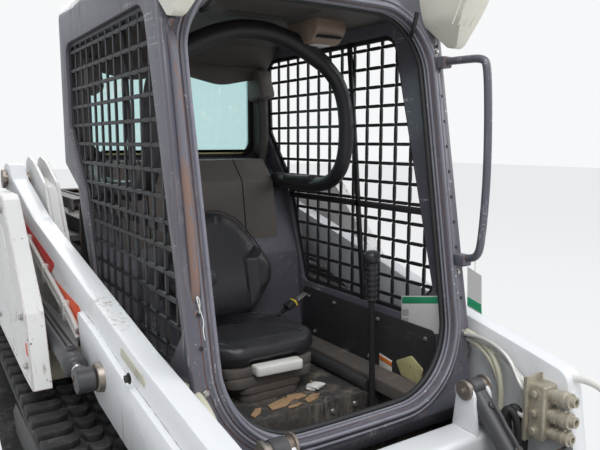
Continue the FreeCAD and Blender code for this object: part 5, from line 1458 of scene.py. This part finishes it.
        self.put(smoothed(lump, 30), "cab", "trim_plastic", "label_white")

    def build(self) -> None:
        """Make everything inside the cab."""
        self.lining()
        self.rear_glass()
        self.seat()
        self.suspension()
        self.bar()
        self.levers()
        self.panels()
        self.belt()
        self.litter()


@dataclass
class Arms(Assembly):
    """Lift arms with their cross tube, lines and stripes."""

    inner: float = 0.530
    outer: float = 0.602
    plate: float = 0.020
    splay: float = 0.0419
    splay_start: float = -1.15

    def outline(self) -> Outline:
        """Side outline of the arm plate."""
        return [
            (1.01, 1.279, 0.05), (1.112, 1.279, 0.05), (1.144, 1.185, 0.05), (1.08, 1.119, 0.05),
            (0.94, 1.035, 0.08), (0.42, 0.822, 0.2), (0.09, 0.738, 0.1), (-0.13, 0.655, 0.06),
            (-0.30, 0.565, 0.12), (-0.56, 0.515, 0.12), (-0.80, 0.505, 0.06), (-0.88, 0.445, 0.06),
            (-1.01, 0.32, 0.06), (-1.088, 0.195, 0.03), (-1.13, 0.139, 0.03), (-1.216, 0.165, 0.04),
            (-1.21, 0.265, 0.06), (-1.19, 0.43, 0.1), (-1.15, 0.682, 0.05), (-1.03, 0.708, 0.06),
            (-0.57, 0.798, 0.2), (0.55, 1.064, 0.2), (0.93, 1.209, 0.1)]

    def doubler(self) -> Outline:
        """Outline of the thick plate round the knee and the cylinder's pin."""
        return [
            (-0.108, 0.822, 0.015), (-0.15, 0.65, 0.02), (-0.30, 0.565, 0.12), (-0.56, 0.515, 0.12),
            (-0.80, 0.505, 0.06), (-0.88, 0.445, 0.06), (-1.01, 0.32, 0.06), (-1.10, 0.33, 0.03),
            (-1.13, 0.56, 0.06), (-1.06, 0.60, 0.06), (-0.88, 0.65, 0.06), (-0.553, 0.715, 0.1),
            (-0.267, 0.791, 0.1)]

    def splayed(self, piece: Piece) -> Piece:
        """Lean a piece outwards with the arm."""
        for vertex in piece.data.vertices:
            vertex.co.x += self.splay * (vertex.co.y - self.splay_start)
        return piece

    def sheet(self, name: str, outline: Outline, finish: str, proud: float = 0.0012) -> None:
        """Painted field on both arms' outer faces."""
        left = self.splayed(
            slab(name, outline, Plane.SIDE, self.outer - 0.002, self.outer + proud, 0.0004, 5))
        self.put(both(left, name), "lift_arms", "white_paint", finish)

    def plates(self) -> None:
        """Arm plates with their doublers, bosses and weld seams."""
        arm = slab("arm", self.outline(), Plane.SIDE, self.inner, self.outer, 0.007)
        thick = slab(
            "arm_doubler", self.doubler(), Plane.SIDE, self.outer - 0.004, self.outer + self.plate, 0.005)
        boss = self.splayed(
            turned("arm_boss", [(0, 0), (0, 0.048), (0.006, 0.046), (0.020, 0.044), (0.022, 0.040),
                    (0.022, 0)], (self.outer + 0.018, -0.35, 0.664), (1, 0, 0), 32))
        self.put(both(boss, "arm_bosses"), "lift_arms", "pin_steel", "pin_steel")
        seam = tube(
            "weld", [(self.outer + 0.001, y, z) for y, z in ((-0.108, 0.815), (-0.125, 0.74),
                    (-0.148, 0.66))], 0.004)
        knee = turned("knee_pad", [(0, 0), (0, 0.062), (0.005, 0.060), (0.008, 0.058), (0.008, 0)],
                      (self.outer + 0.018, -1.15, 0.205), (1, 0, 0), 32)
        left = self.splayed(joined("arm_left", [arm, thick, seam, knee]))
        right = mirrored(left, "arm_right")
        self.put(left, "lift_arms", "white_paint", "white_paint", "lift_arm_left")
        self.put(right, "lift_arms", "white_paint", "white_paint", "lift_arm_right")

    def fields(self) -> None:
        """Bare red field, the stripe and what is stuck on the arms."""
        self.sheet(
            "red_field", [(1.03, 0.998, 0.01), (0.31, 0.862, 0.01), (0.222, 0.920, 0.01),
                (0.90, 1.072, 0.02), (1.00, 1.098, 0.02)], "red_paint")
        self.sheet(
            "stripe", [(0.46, 0.885, 0.004), (0.10, 0.842, 0.08), (-0.075, 0.822, 0.02),
                (-0.112, 0.785, 0.01), (-0.134, 0.664, 0.01), (0.08, 0.744, 0.05), (0.44, 0.836, 0.004)],
            "orange_paint")
        patch = slab(
            "pale_patch", [(-0.47, 0.765, 0.01), (-0.66, 0.728, 0.01), (-0.67, 0.752, 0.01),
                (-0.49, 0.795, 0.01)], Plane.SIDE, self.outer - 0.002, self.outer + 0.0013, 0.0004)
        self.put(mirrored(self.splayed(patch), "pale_patch_right"), "lift_arms", "white_paint", "pale_tube")
        bpy.data.objects.remove(patch)

    def cross(self) -> None:
        """Cross tube with the tilt cylinders' lugs, pins and bolts."""
        half = 0.545
        box = slab(
            "cross_tube", [(-0.99, 0.33, 0.02), (-0.87, 0.33, 0.02), (-0.87, 0.47, 0.02),
                (-0.99, 0.47, 0.02)], Plane.SIDE, -half, half, 0.003)
        parts = [box]
        pins = []
        for centre in (-0.37, 0.37):
            for side in (-1, 1):
                low = centre + side * 0.028
                high = low + side * 0.014
                parts.append(
                    slab("lug", [(-0.985, 0.46), (-0.965, 0.60, 0.035), (-0.90, 0.632, 0.035),
                            (-0.88, 0.46)], Plane.SIDE, min(low, high), max(low, high), 0.002))
            pin = [
                (0, 0), (0, 0.030), (0.003, 0.033), (0.009, 0.033), (0.010, 0.024), (0.090, 0.024),
                (0.091, 0.033), (0.097, 0.033), (0.10, 0.030), (0.10, 0)]
            pins.append(turned("lug_pin", pin, (centre - 0.05, -0.93, 0.60), (1, 0, 0), 32))
            pins += [
                bolt((centre - 0.05, -0.93, 0.60), (-1, 0, 0), 0.009),
                bolt((centre + 0.05, -0.93, 0.60), (1, 0, 0), 0.009)]
        self.put(joined("lug_pins", pins), "lift_arms", "pin_steel", "pin_steel")
        self.put(joined("cross_member", parts), "lift_arms", "white_paint", "white_paint",
              "arm_crossmember")

    def lines(self) -> None:
        """Steel lines along the arms with their clamps, and the bent return tubes at the knees."""
        x = self.outer + 0.013
        lines = []
        clamps = []
        for drop in (0.0, 0.030):
            route = [
                (x, 0.66, 0.985 - drop), (x, 0.60, 0.978 - drop), (x, 0.34, 0.893 - drop),
                (x, 0.06, 0.805 - drop), (x, 0.02, 0.792 - drop), (x, -0.05, 0.765 - drop),
                (x, -0.092, 0.745 - drop)]
            lines.append(self.splayed(tube("arm_line", route, 0.0095)))
        for y, z in ((0.60, 0.962), (0.34, 0.878), (0.06, 0.79)):
            clamps.append(
                self.splayed(brick("line_clamp", (self.outer, y - 0.016, z - 0.045),
                        (x + 0.012, y + 0.016, z + 0.028), 0.004)))
        left = joined("arm_lines_left", lines + clamps)
        self.put(both(left, "arm_lines"), "lift_arms", "pin_steel", "line_steel", "arm_hard_lines")
        heads = []
        for y, z in ((-0.095, 0.70), (-0.60, 0.74), (0.97, 1.13), (-1.02, 0.66)):
            head = self.splayed(bolt((self.outer + (0.02 if y < -0.1 else 0.0), y, z), (1, 0, 0), 0.012))
            heads += [head, mirrored(head, "bolt_right")]
        self.put(joined("arm_bolts", heads), "lift_arms", "pin_steel", "screen_paint")
        bends = []
        for sign in (-1, 1):
            for step in (0, 1):
                rise = 0.024 * step
                bends.append(
                    tube("knee_tube", [(sign * 0.515, -0.60, 0.70 - rise),
                            (sign * 0.515, -0.68, 0.718 - rise), (sign * 0.515, -0.76, 0.722 - rise),
                            (sign * 0.515, -0.83, 0.704 - rise), (sign * 0.515, -0.89, 0.66 - rise),
                            (sign * 0.51, -0.93, 0.58 - rise), (sign * 0.50, -0.935, 0.48)], 0.0105))
        self.put(joined("knee_tubes", bends), "lift_arms", "pin_steel", "pale_tube")

    def build(self) -> None:
        """Make the arms."""
        self.plates()
        self.fields()
        self.cross()
        self.lines()


@dataclass
class Cylinder(Assembly):
    """One hydraulic cylinder, drawn from its base eye to its rod's eye."""

    family: str
    side: str
    x: float
    base: Pair
    eye: Pair
    radius: float
    length: float
    rod: float
    eye_radius: float
    eye_width: float
    collar: float = 0.02

    def build(self) -> None:
        """Make the barrel with its gland and port, and the rod with its eye."""
        start = Vector((self.x, *self.base))
        end = Vector((self.x, *self.eye))
        way = (end - start).normalized()
        span = (end - start).length
        r = self.radius
        body = turned(
            "barrel", [(self.eye_radius * 0.7, 0), (self.eye_radius * 0.75, r * 0.9),
                (self.eye_radius + 0.01, r), (self.length - 0.052, r), (self.length - 0.050, r + 0.003),
                (self.length - 0.012, r + 0.004), (self.length - 0.004, r - 0.002), (self.length, r - 0.008),
                (self.length, 0)], tuple(start), tuple(way), 36)
        half = self.eye_width / 2
        ring = [
            (0, 0), (0, self.eye_radius - 0.003), (0.003, self.eye_radius),
            (self.eye_width - 0.003, self.eye_radius), (self.eye_width, self.eye_radius - 0.003),
            (self.eye_width, 0)]
        base_eye = turned("base_eye", ring, (self.x - half, *self.base), (1, 0, 0), 32)
        up = Vector((0, -way.z, way.y))
        up = up if up.z > 0 else -up
        foot = start + way * (self.eye_radius + 0.045) + up * (r - 0.004)
        far = start + way * (self.length - 0.075) + up * (r - 0.004)
        port_profile = [(0, 0), (0, 0.014), (0.012, 0.013), (0.014, 0.009), (0.020, 0.009), (0.020, 0)]
        ports = [turned("port", port_profile, tuple(spot), tuple(up), 20) for spot in (foot, far)]
        line = tube(
            "feed", [tuple(foot + up * 0.012), tuple(foot + up * 0.018 + way * 0.03),
                tuple(foot + up * 0.010 + way * 0.10), tuple(foot + up * 0.010 + way * (self.length * 0.5)),
                tuple(far + up * 0.010 - way * 0.10), tuple(far + up * 0.018 - way * 0.03),
                tuple(far + up * 0.012)], 0.0065)
        barrel = joined(f"{self.family}_barrel_{self.side}", [body, base_eye, *ports, line])
        self.put(barrel, f"{self.family}_barrel_{self.side}", "black_paint", "cylinder_paint",
              f"{self.family}_cylinder_barrel_{self.side}")
        stem = turned(
            "rod", [(self.length * 0.55, 0), (self.length * 0.55, self.rod),
                (span - self.eye_radius * 0.7, self.rod), (span - self.eye_radius * 0.6, 0)], tuple(start),
            tuple(way), 36)
        rod_eye = turned("rod_eye", ring, (self.x - half, *self.eye), (1, 0, 0), 32)
        collar = turned(
            "collar", [(span - self.eye_radius - self.collar, 0),
                (span - self.eye_radius - self.collar, self.rod + 0.003),
                (span - self.eye_radius - self.collar + 0.002, self.rod + 0.006),
                (span - self.eye_radius * 0.6, self.rod + 0.009), (span - self.eye_radius * 0.6, 0)],
            tuple(start), tuple(way), 32)
        body = f"{self.family}_rod_{self.side}"
        self.put(stem, body, "chrome_rod", "chrome_rod", f"{self.family}_cylinder_rod_{self.side}")
        self.put(joined(f"{self.family}_rod_eye_{self.side}", [rod_eye, collar]), body, "black_paint",
              "cylinder_paint")


@dataclass
class Tracks(Assembly):
    """Rubber tracks with their tread bars."""

    inner: float = 0.518
    outer: float = 0.838
    tread: float = 0.022
    belt: float = 0.028
    lugs: int = 52
    wheels: tuple[tuple[float, float, float], ...] = (
        (-0.75, 0.225, 0.225), (0.60, 0.19, 0.19), (0.88, 0.335, 0.225))

    def loop(self, inset: float) -> list[Pair]:
        """Line that runs round the wheels at a distance inside the tread's tips."""
        spots = []
        for y, z, radius in self.wheels:
            for step in range(72):
                angle = math.tau * step / 72
                spots.append((y + (radius - inset) * math.cos(angle), z + (radius - inset) * math.sin(angle)))
        spots.sort()
        hull: list[Pair] = []
        for row in (spots, spots[::-1]):
            part: list[Pair] = []
            for spot in row:
                while len(part) > 1 and self._turn(part[-2], part[-1], spot) <= 0:
                    part.pop()
                part.append(spot)
            hull += part[:-1]
        return hull

    @staticmethod
    def _turn(a: Pair, b: Pair, c: Pair) -> float:
        """Twice the area of a triangle, positive where it turns left."""
        return (b[0] - a[0]) * (c[1] - a[1]) - (b[1] - a[1]) * (c[0] - a[0])

    def stations(self, inset: float) -> list[tuple[Vector, Vector]]:
        """Places of the tread bars with the way along the track."""
        line = [Vector((0, *spot)) for spot in self.loop(inset)]
        spans = [(line[(i + 1) % len(line)] - line[i]).length for i in range(len(line))]
        pitch = sum(spans) / self.lugs
        found = []
        run = 0.0
        target = pitch / 2
        for index, span in enumerate(spans):
            while target <= run + span and len(found) < self.lugs:
                way = (line[(index + 1) % len(line)] - line[index]).normalized()
                found.append((line[index] + way * (target - run), way))
                target += pitch
            run += span
        return found

    def lug(self) -> Piece:
        """Tread bars of one pitch, lying flat: u along Y, the width along X, up along Z."""
        wide = self.outer - self.inner
        high = self.tread + 0.003
        outline = [
            (0.003, -0.026, 0.004), (0.100, -0.024, 0.006), (0.118, -0.006, 0.006), (0.112, 0.014, 0.006),
            (0.086, 0.028, 0.004), (0.003, 0.030, 0.004)]
        left = slab("bar", outline, Plane.PLAN, 0.0, high, 0.0028, 3)
        right = slab(
            "bar", [(wide - x, y, radius) for x, y, radius in outline], Plane.PLAN, 0.0, high, 0.0028, 3)
        rows = [(-0.036, -0.036, 0.004), (-0.022, -0.034, 0.008), (0, -0.022, 0.03), (0.022, -0.034, 0.008),
                (0.036, -0.036, 0.004), (0.026, 0.010, 0.02), (0, 0.024, 0.03), (-0.026, 0.010, 0.02)]
        middle = slab(
            "crescent", [(wide / 2 + x, y, radius) for x, y, radius in rows], Plane.PLAN, 0.0, high, 0.0028,
            3)
        return joined("tread_bar", [left, right, middle])

    def build(self) -> None:
        """Make both tracks."""
        outer = self.loop(self.tread)
        belt = slab("belt", outer, Plane.SIDE, self.inner, self.outer)
        cut(
            belt, slab("hollow", self.loop(self.tread + self.belt), Plane.SIDE, self.inner - 0.1,
                self.outer + 0.1))
        bevelled(belt, 0.005, 2, 60)
        bars = []
        model = self.lug()
        for spot, way in self.stations(self.tread):
            outwards = Vector((0, way.z, -way.y))
            bar = copy_to(model, "bar")
            frame = Matrix((( -1, 0, 0, self.outer), (0, way.y, outwards.y, spot.y - outwards.y * 0.002),
                            (0, way.z, outwards.z, spot.z - outwards.z * 0.002), (0, 0, 0, 1)))
            bar.data.transform(frame)
            bars.append(bar)
        inside = []
        guide = slab(
            "guide", [(-0.030, -0.014, 0.004), (0.030, -0.014, 0.004), (0.020, 0.014, 0.004),
                (-0.020, 0.014, 0.004)], Plane.PLAN, 0.0, 0.022, 0.003, 3)
        for spot, way in self.stations(self.tread + self.belt):
            outwards = Vector((0, way.z, -way.y))
            for shift in (-0.045, 0.045):
                tooth = copy_to(guide, "tooth")
                tooth.data.transform(
                    Matrix(((1, 0, 0, (self.inner + self.outer) / 2 + shift),
                            (0, way.y, -outwards.y, spot.y + outwards.y * 0.002),
                            (0, way.z, -outwards.z, spot.z + outwards.z * 0.002), (0, 0, 0, 1))))
                tooth.data.flip_normals()
                inside.append(tooth)
        bpy.data.objects.remove(model)
        bpy.data.objects.remove(guide)
        whole = joined("track_loop_left", [belt, *bars, *inside])
        outward(whole, 1e-6)
        smoothed(whole, 40)
        other = mirrored(whole, "track_loop_right")
        self.put(whole, "frame", "track_rubber", "track_rubber", "track_left")
        self.put(other, "frame", "track_rubber", "track_rubber", "track_right")


@dataclass
class FrontCluster(Assembly):
    """Couplers, their guard, hoses and lines at the left knee."""

    def build(self) -> None:
        """Make the couplers and what leads to them."""
        block = brick("valve", (0.470, -1.12, 0.462), (0.540, -1.055, 0.640), 0.008, 3)
        plate = slab(
            "valve_plate", [(-1.052, 0.45, 0.01), (-1.066, 0.45), (-1.066, 0.66), (-1.052, 0.66, 0.01)],
            Plane.SIDE, 0.455, 0.556, 0.002)
        block = joined("valve_block", [block, plate])
        couplers = []
        for z, reach, size in ((0.610, 0.085, 0.024), (0.548, 0.088, 0.026), (0.490, 0.080, 0.023)):
            profile = [
                (0, 0), (0, size * 0.8), (0.012, size * 0.8), (0.014, size * 0.95), (0.030, size * 0.95),
                (0.032, size * 0.78), (0.040, size * 0.78), (0.042, size), (0.054, size),
                (0.056, size * 0.92), (0.058, size), (0.070, size), (0.072, size * 0.7),
                (reach, size * 0.66), (reach, size * 0.4), (reach - 0.02, size * 0.4), (reach - 0.02, 0)]
            couplers.append(turned("coupler", profile, (0.502, -1.118, z), (0.04, -1, 0.05), 28))
            nut = bolt((0.471, -1.085, z), (-1, 0, 0), 0.013)
            couplers.append(nut)
        self.put(joined("couplers", [block, *couplers]), "lift_arms", "coupler_steel", "coupler_brass",
              "coupler_block")
        guard = tube(
            "coupler_guard_tube",
            [(0.570, -1.118, 0.652), (0.570, -1.15, 0.662), (0.570, -1.20, 0.668), (0.570, -1.245, 0.660),
                (0.570, -1.270, 0.625), (0.570, -1.278, 0.55), (0.570, -1.279, 0.48), (0.570, -1.262, 0.445),
                (0.570, -1.22, 0.430), (0.570, -1.162, 0.420)], 0.0125, sides=4)
        self.put(guard, "lift_arms", "white_paint", "handle_white", "coupler_guard")
        lines = []
        for shift in range(3):
            x = 0.498 + 0.014 * shift
            lines.append(
                tube("bent_line", [(x, -0.70, 0.700 - 0.02 * shift), (x, -0.80, 0.722 - 0.02 * shift),
                        (x, -0.90, 0.712 - 0.02 * shift), (x, -0.965, 0.680 - 0.02 * shift),
                        (x - 0.01, -1.01, 0.62), (x - 0.015, -1.035, 0.60 - 0.045 * shift),
                        (x - 0.02, -1.056, 0.60 - 0.045 * shift)], 0.0075))
        for shift in range(2):
            x = 0.455 + 0.02 * shift
            lines.append(
                tube("down_line", [(x, -1.056, 0.53), (x, -1.02, 0.535), (x, -0.985, 0.50),
                        (x, -0.955, 0.44), (x - 0.02, -0.94, 0.38), (x - 0.04, -0.93, 0.30)], 0.0075))
        self.put(joined("cluster_lines", lines), "lift_arms", "pin_steel", "line_steel")
        hoses = []
        for shift in range(2):
            x = 0.425 + 0.026 * shift
            hoses.append(
                tube("loop_hose", [(x, -1.006, 0.30), (x, -1.006, 0.40), (x, -1.006, 0.47),
                        (x, -1.003, 0.52), (x + 0.01, -1.015, 0.548), (x + 0.02, -1.036, 0.53),
                        (x + 0.03, -1.044, 0.47), (x + 0.036, -1.044, 0.42), (x + 0.04, -1.038, 0.37)],
                    0.0125))
        self.put(joined("loop_hoses", hoses), "lift_arms", "mount_rubber", "seal_rubber")
        fittings = []
        for x, y, z, way in ((0.425, -1.006, 0.285, (0, 0, 1)), (0.451, -1.006, 0.285, (0, 0, 1)),
                             (0.465, -1.038, 0.345, (0, 0, 1)), (0.491, -1.038, 0.345, (0, 0, 1))):
            fittings.append(
                turned("fitting", [(0, 0), (0, 0.013), (0.008, 0.014), (0.02, 0.014), (0.022, 0.012),
                        (0.04, 0.012), (0.04, 0)], (x, y, z), way, 6))
        self.put(joined("hose_fittings", fittings), "lift_arms", "pin_steel", "line_steel")


@dataclass
class Uprights(Assembly):
    """Rear towers and fender boxes."""

    def fender(self, inset: float = 0.0) -> Outline:
        """Side outline of a fender box."""
        rows = (
            (-0.095, 0.56, 0.0, 1, 1), (-0.01, 0.81, 0.03, 1, -1), (0.365, 1.18, 0.06, 1, -1),
            (1.13, 1.18, 0.06, -1, -1), (1.25, 1.0, 0.06, -1, -1), (1.28, 0.70, 0.02, -1, 0),
            (1.28, 0.47, 0.03, -1, 1), (1.17, 0.47, 0.03, 1, 1), (1.11, 0.59, 0.03, 1, 1),
            (0.88, 0.62, 0.06, 0, 1), (0.06, 0.56, 0.0, 0, 1))
        return [(y + inset * a, z + inset * b, max(radius - inset / 2, 0.0)) for y, z, radius, a, b in rows]

    def build(self) -> None:
        """Add what the plain boxes lack: lips, bolts, plates without words and patches of wear."""
        lip = slab("fender_lip", self.fender(), Plane.SIDE, 0.806, 0.8135)
        cut(lip, slab("lip_gap", self.fender(0.018), Plane.SIDE, 0.7, 0.9))
        bevelled(lip, 0.003, 2, 50)
        pad = slab(
            "fender_field", [(0.10, 0.72, 0.05), (0.42, 1.06, 0.06), (1.08, 1.06, 0.06), (1.12, 0.76, 0.05)],
            Plane.SIDE, 0.808, 0.8128, 0.002)
        self.put(
            both(joined("fender_skin", [lip, pad]), "fender_skins"), "frame", "white_paint", "fender_paint")
        heads = []
        for y, z in ((0.0, 0.62), (0.05, 0.78), (0.40, 1.12), (1.10, 1.12), (1.22, 0.72), (0.60, 0.66)):
            head = bolt((0.8125, y, z), (1, 0, 0), 0.010)
            heads += [head, mirrored(head, "bolt_right")]
        for y, z in ((0.62, 0.72), (1.18, 0.72), (1.18, 1.0)):
            head = bolt((0.594, y, z), (1, 0, 0), 0.012)
            heads += [head, mirrored(head, "bolt_right")]
        self.put(joined("upright_bolts", heads), "frame", "pin_steel", "bolt_zinc")
        card = slab(
            "bare_plate", [(0.62, 0.90, 0.01), (0.72, 0.90, 0.01), (0.72, 1.03, 0.01), (0.62, 1.03, 0.01)],
            Plane.SIDE, 0.5938, 0.5965, 0.0008)
        self.put(both(card, "bare_plates"), "frame", "white_paint", "bolt_zinc")
        patch = slab(
            "red_patch", [(-0.052, 0.66, 0.01), (-0.01, 0.67, 0.01), (0.0, 0.71, 0.01),
                (-0.035, 0.705, 0.01)], Plane.SIDE, 0.8130, 0.8145, 0.0004)
        self.put(mirrored(patch, "red_patch_right"), "frame", "white_paint", "orange_paint")
        bpy.data.objects.remove(patch)


@dataclass
class Rear(Assembly):
    """Tailgate grille, handle and lamps, and the cover's slats."""

    def build(self) -> None:
        """Add the tailgate's and cover's small parts."""
        slats = [
            slab("slat", [(1.296, 0.665 + 0.026 * step), (1.306, 0.660 + 0.026 * step),
                    (1.311, 0.676 + 0.026 * step), (1.300, 0.684 + 0.026 * step)], Plane.SIDE, -0.258, 0.258,
                0.0015) for step in range(11)]
        self.put(joined("tailgate_slats", slats), "tailgate", "black_paint", "black_paint")
        handle = [
            brick("latch_pan", (0.36, 1.309, 0.70), (0.46, 1.3155, 0.80), 0.004),
            tube("latch_bar", [(0.375, 1.312, 0.735), (0.385, 1.325, 0.738), (0.41, 1.328, 0.74),
                    (0.435, 1.325, 0.742), (0.445, 1.312, 0.745)], 0.006)]
        self.put(joined("tailgate_latch", handle), "tailgate", "black_paint", "screen_paint")
        heads = [bolt((x, 1.3125, z), (0, 1, 0), 0.009) for x in (-0.47, 0.47) for z in (0.47, 1.02)]
        self.put(joined("tailgate_bolts", heads), "tailgate", "pin_steel", "bolt_zinc")
        bars = [brick("lid_rib", (x - 0.006, 0.60, 1.131), (x + 0.006, 1.20, 1.141), 0.002) for x in
                (-0.44, -0.30, 0.30, 0.44)]
        self.put(joined("lid_ribs", bars), "top_screen", "black_paint", "black_paint")
        lenses = []
        for sign in (-1, 1):
            low, high = sorted((sign * 0.634, sign * 0.698))
            lenses.append(brick("tail_lens", (low, 1.276, 0.828), (high, 1.284, 0.952), 0.004, 3))
            lenses += [
                brick("lens_rib", (low + 0.004, 1.283, 0.84 + 0.013 * step),
                    (high - 0.004, 1.286, 0.845 + 0.013 * step), 0.0012) for step in range(8)]
        self.put(joined("tail_lenses", lenses), "frame", "tail_lamp_lens", "tail_red")


def machine(palette: Palette) -> None:
    """Build the machine's sub-assemblies in order.

    Args:
        palette: the materials.
    """
    cab = Cab(palette)
    cab.build()
    Interior(palette, cab).build()
    Arms(palette).build()
    for sign, side in ((1, "left"), (-1, "right")):
        Cylinder(
            palette, "lift", side, sign * 0.705, (0.880, 0.745), (-0.350, 0.664), 0.034, 1.13, 0.021, 0.038,
            0.054).build()
        Cylinder(
            palette, "tilt", side, sign * 0.370, (-0.930, 0.600), (-1.183, 0.330), 0.032, 0.298, 0.017,
            0.030, 0.050, 0.003).build()
    Tracks(palette).build()
    FrontCluster(palette).build()
    Uprights(palette).build()
    Rear(palette).build()


@dataclass
class Studio:
    """Floor, light and camera."""

    eye: Point = (-1.139, -2.210, 1.386)
    yaw: float = 33.2
    pitch: float = 7.75
    roll: float = 0.07
    focal_share: float = 615.45 / 600.0

    def build(self) -> None:
        """Make the floor, the lamps, the sky and the camera."""
        clear_selection()
        bpy.ops.mesh.primitive_plane_add(size=60, location=(0, 0, 0))
        floor = bpy.context.active_object
        floor.name = "floor"
        made = bpy.data.materials.new("floor_pale")
        made.use_nodes = True
        shader = made.node_tree.nodes["Principled BSDF"]
        shader.inputs["Base Color"].default_value = (0.62, 0.62, 0.61, 1.0)
        shader.inputs["Roughness"].default_value = 0.9
        graph = Graph(made.node_tree)
        glow = graph.node("ShaderNodeEmission")
        glow.inputs["Color"].default_value = (0.93, 0.94, 0.95, 1.0)
        seen = graph.math("MULTIPLY", graph.node("ShaderNodeLightPath").outputs["Is Camera Ray"], 0.80)
        blend = graph.node("ShaderNodeMixShader")
        graph.feed(blend.inputs[0], seen)
        graph.feed(blend.inputs[1], shader.outputs[0])
        graph.feed(blend.inputs[2], glow.outputs[0])
        graph.feed(made.node_tree.nodes["Material Output"].inputs[0], blend.outputs[0])
        floor.data.materials.append(made)
        self._sky()
        for name, place, size, power in (("key_light", (-1.8, -4.2, 6.6), 4.5, 330.0),
                                         ("fill_light", (5.0, -3.0, 4.0), 4.0, 120.0),
                                         ("back_light", (1.0, 5.5, 5.0), 4.0, 160.0)):
            bpy.ops.object.light_add(type="AREA", location=place)
            lamp = bpy.context.active_object
            lamp.name = name
            lamp.data.size = size
            lamp.data.energy = power
            lamp.rotation_mode = "QUATERNION"
            lamp.rotation_quaternion = (Vector((0, -0.3, 0.8)) - Vector(place)).to_track_quat("-Z", "Y")
        bpy.ops.object.camera_add(location=self.eye)
        camera = bpy.context.active_object
        camera.name = "photo_camera"
        yaw, pitch = math.radians(self.yaw), math.radians(self.pitch)
        ahead = Vector((math.sin(yaw) * math.cos(pitch), math.cos(yaw) * math.cos(pitch), -math.sin(pitch)))
        turn = ahead.to_track_quat("-Z", "Y").to_matrix().to_4x4()
        camera.rotation_mode = "QUATERNION"
        camera.rotation_quaternion = (turn @ Matrix.Rotation(math.radians(self.roll), 4, "Z")).to_quaternion()
        camera.data.sensor_width = 36.0
        camera.data.lens = 36.0 * self.focal_share
        camera.data.clip_start = 0.05
        bpy.context.scene.camera = camera
        bpy.context.scene.view_settings.view_transform = "Standard"

    @staticmethod
    def _sky() -> None:
        """Plain pale sky that the camera sees white."""
        world = bpy.data.worlds.new("sky")
        bpy.context.scene.world = world
        world.use_nodes = True
        graph = Graph(world.node_tree)
        world.node_tree.nodes.clear()
        light = graph.node("ShaderNodeBackground")
        light.inputs["Color"].default_value = (0.92, 0.95, 1.0, 1.0)
        light.inputs["Strength"].default_value = 0.62
        seen = graph.node("ShaderNodeBackground")
        seen.inputs["Color"].default_value = (0.93, 0.94, 0.95, 1.0)
        seen.inputs["Strength"].default_value = 1.0
        path = graph.node("ShaderNodeLightPath")
        direct = graph.math("MAXIMUM", path.outputs["Is Camera Ray"], path.outputs["Is Transmission Ray"])
        choice = graph.node("ShaderNodeMixShader")
        graph.feed(choice.inputs[0], direct)
        graph.feed(choice.inputs[1], light.outputs[0])
        graph.feed(choice.inputs[2], seen.outputs[0])
        graph.feed(graph.node("ShaderNodeOutputWorld").inputs[0], choice.outputs[0])


def main() -> None:
    """Build the scene in order."""
    logging.basicConfig(level=logging.INFO, format="%(message)s")
    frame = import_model()
    clear_selection()
    palette = Palette()
    Studio().build()
    dress_nodes(frame["nodes"], palette)
    machine(palette)


if __name__ == "__main__":
    main()
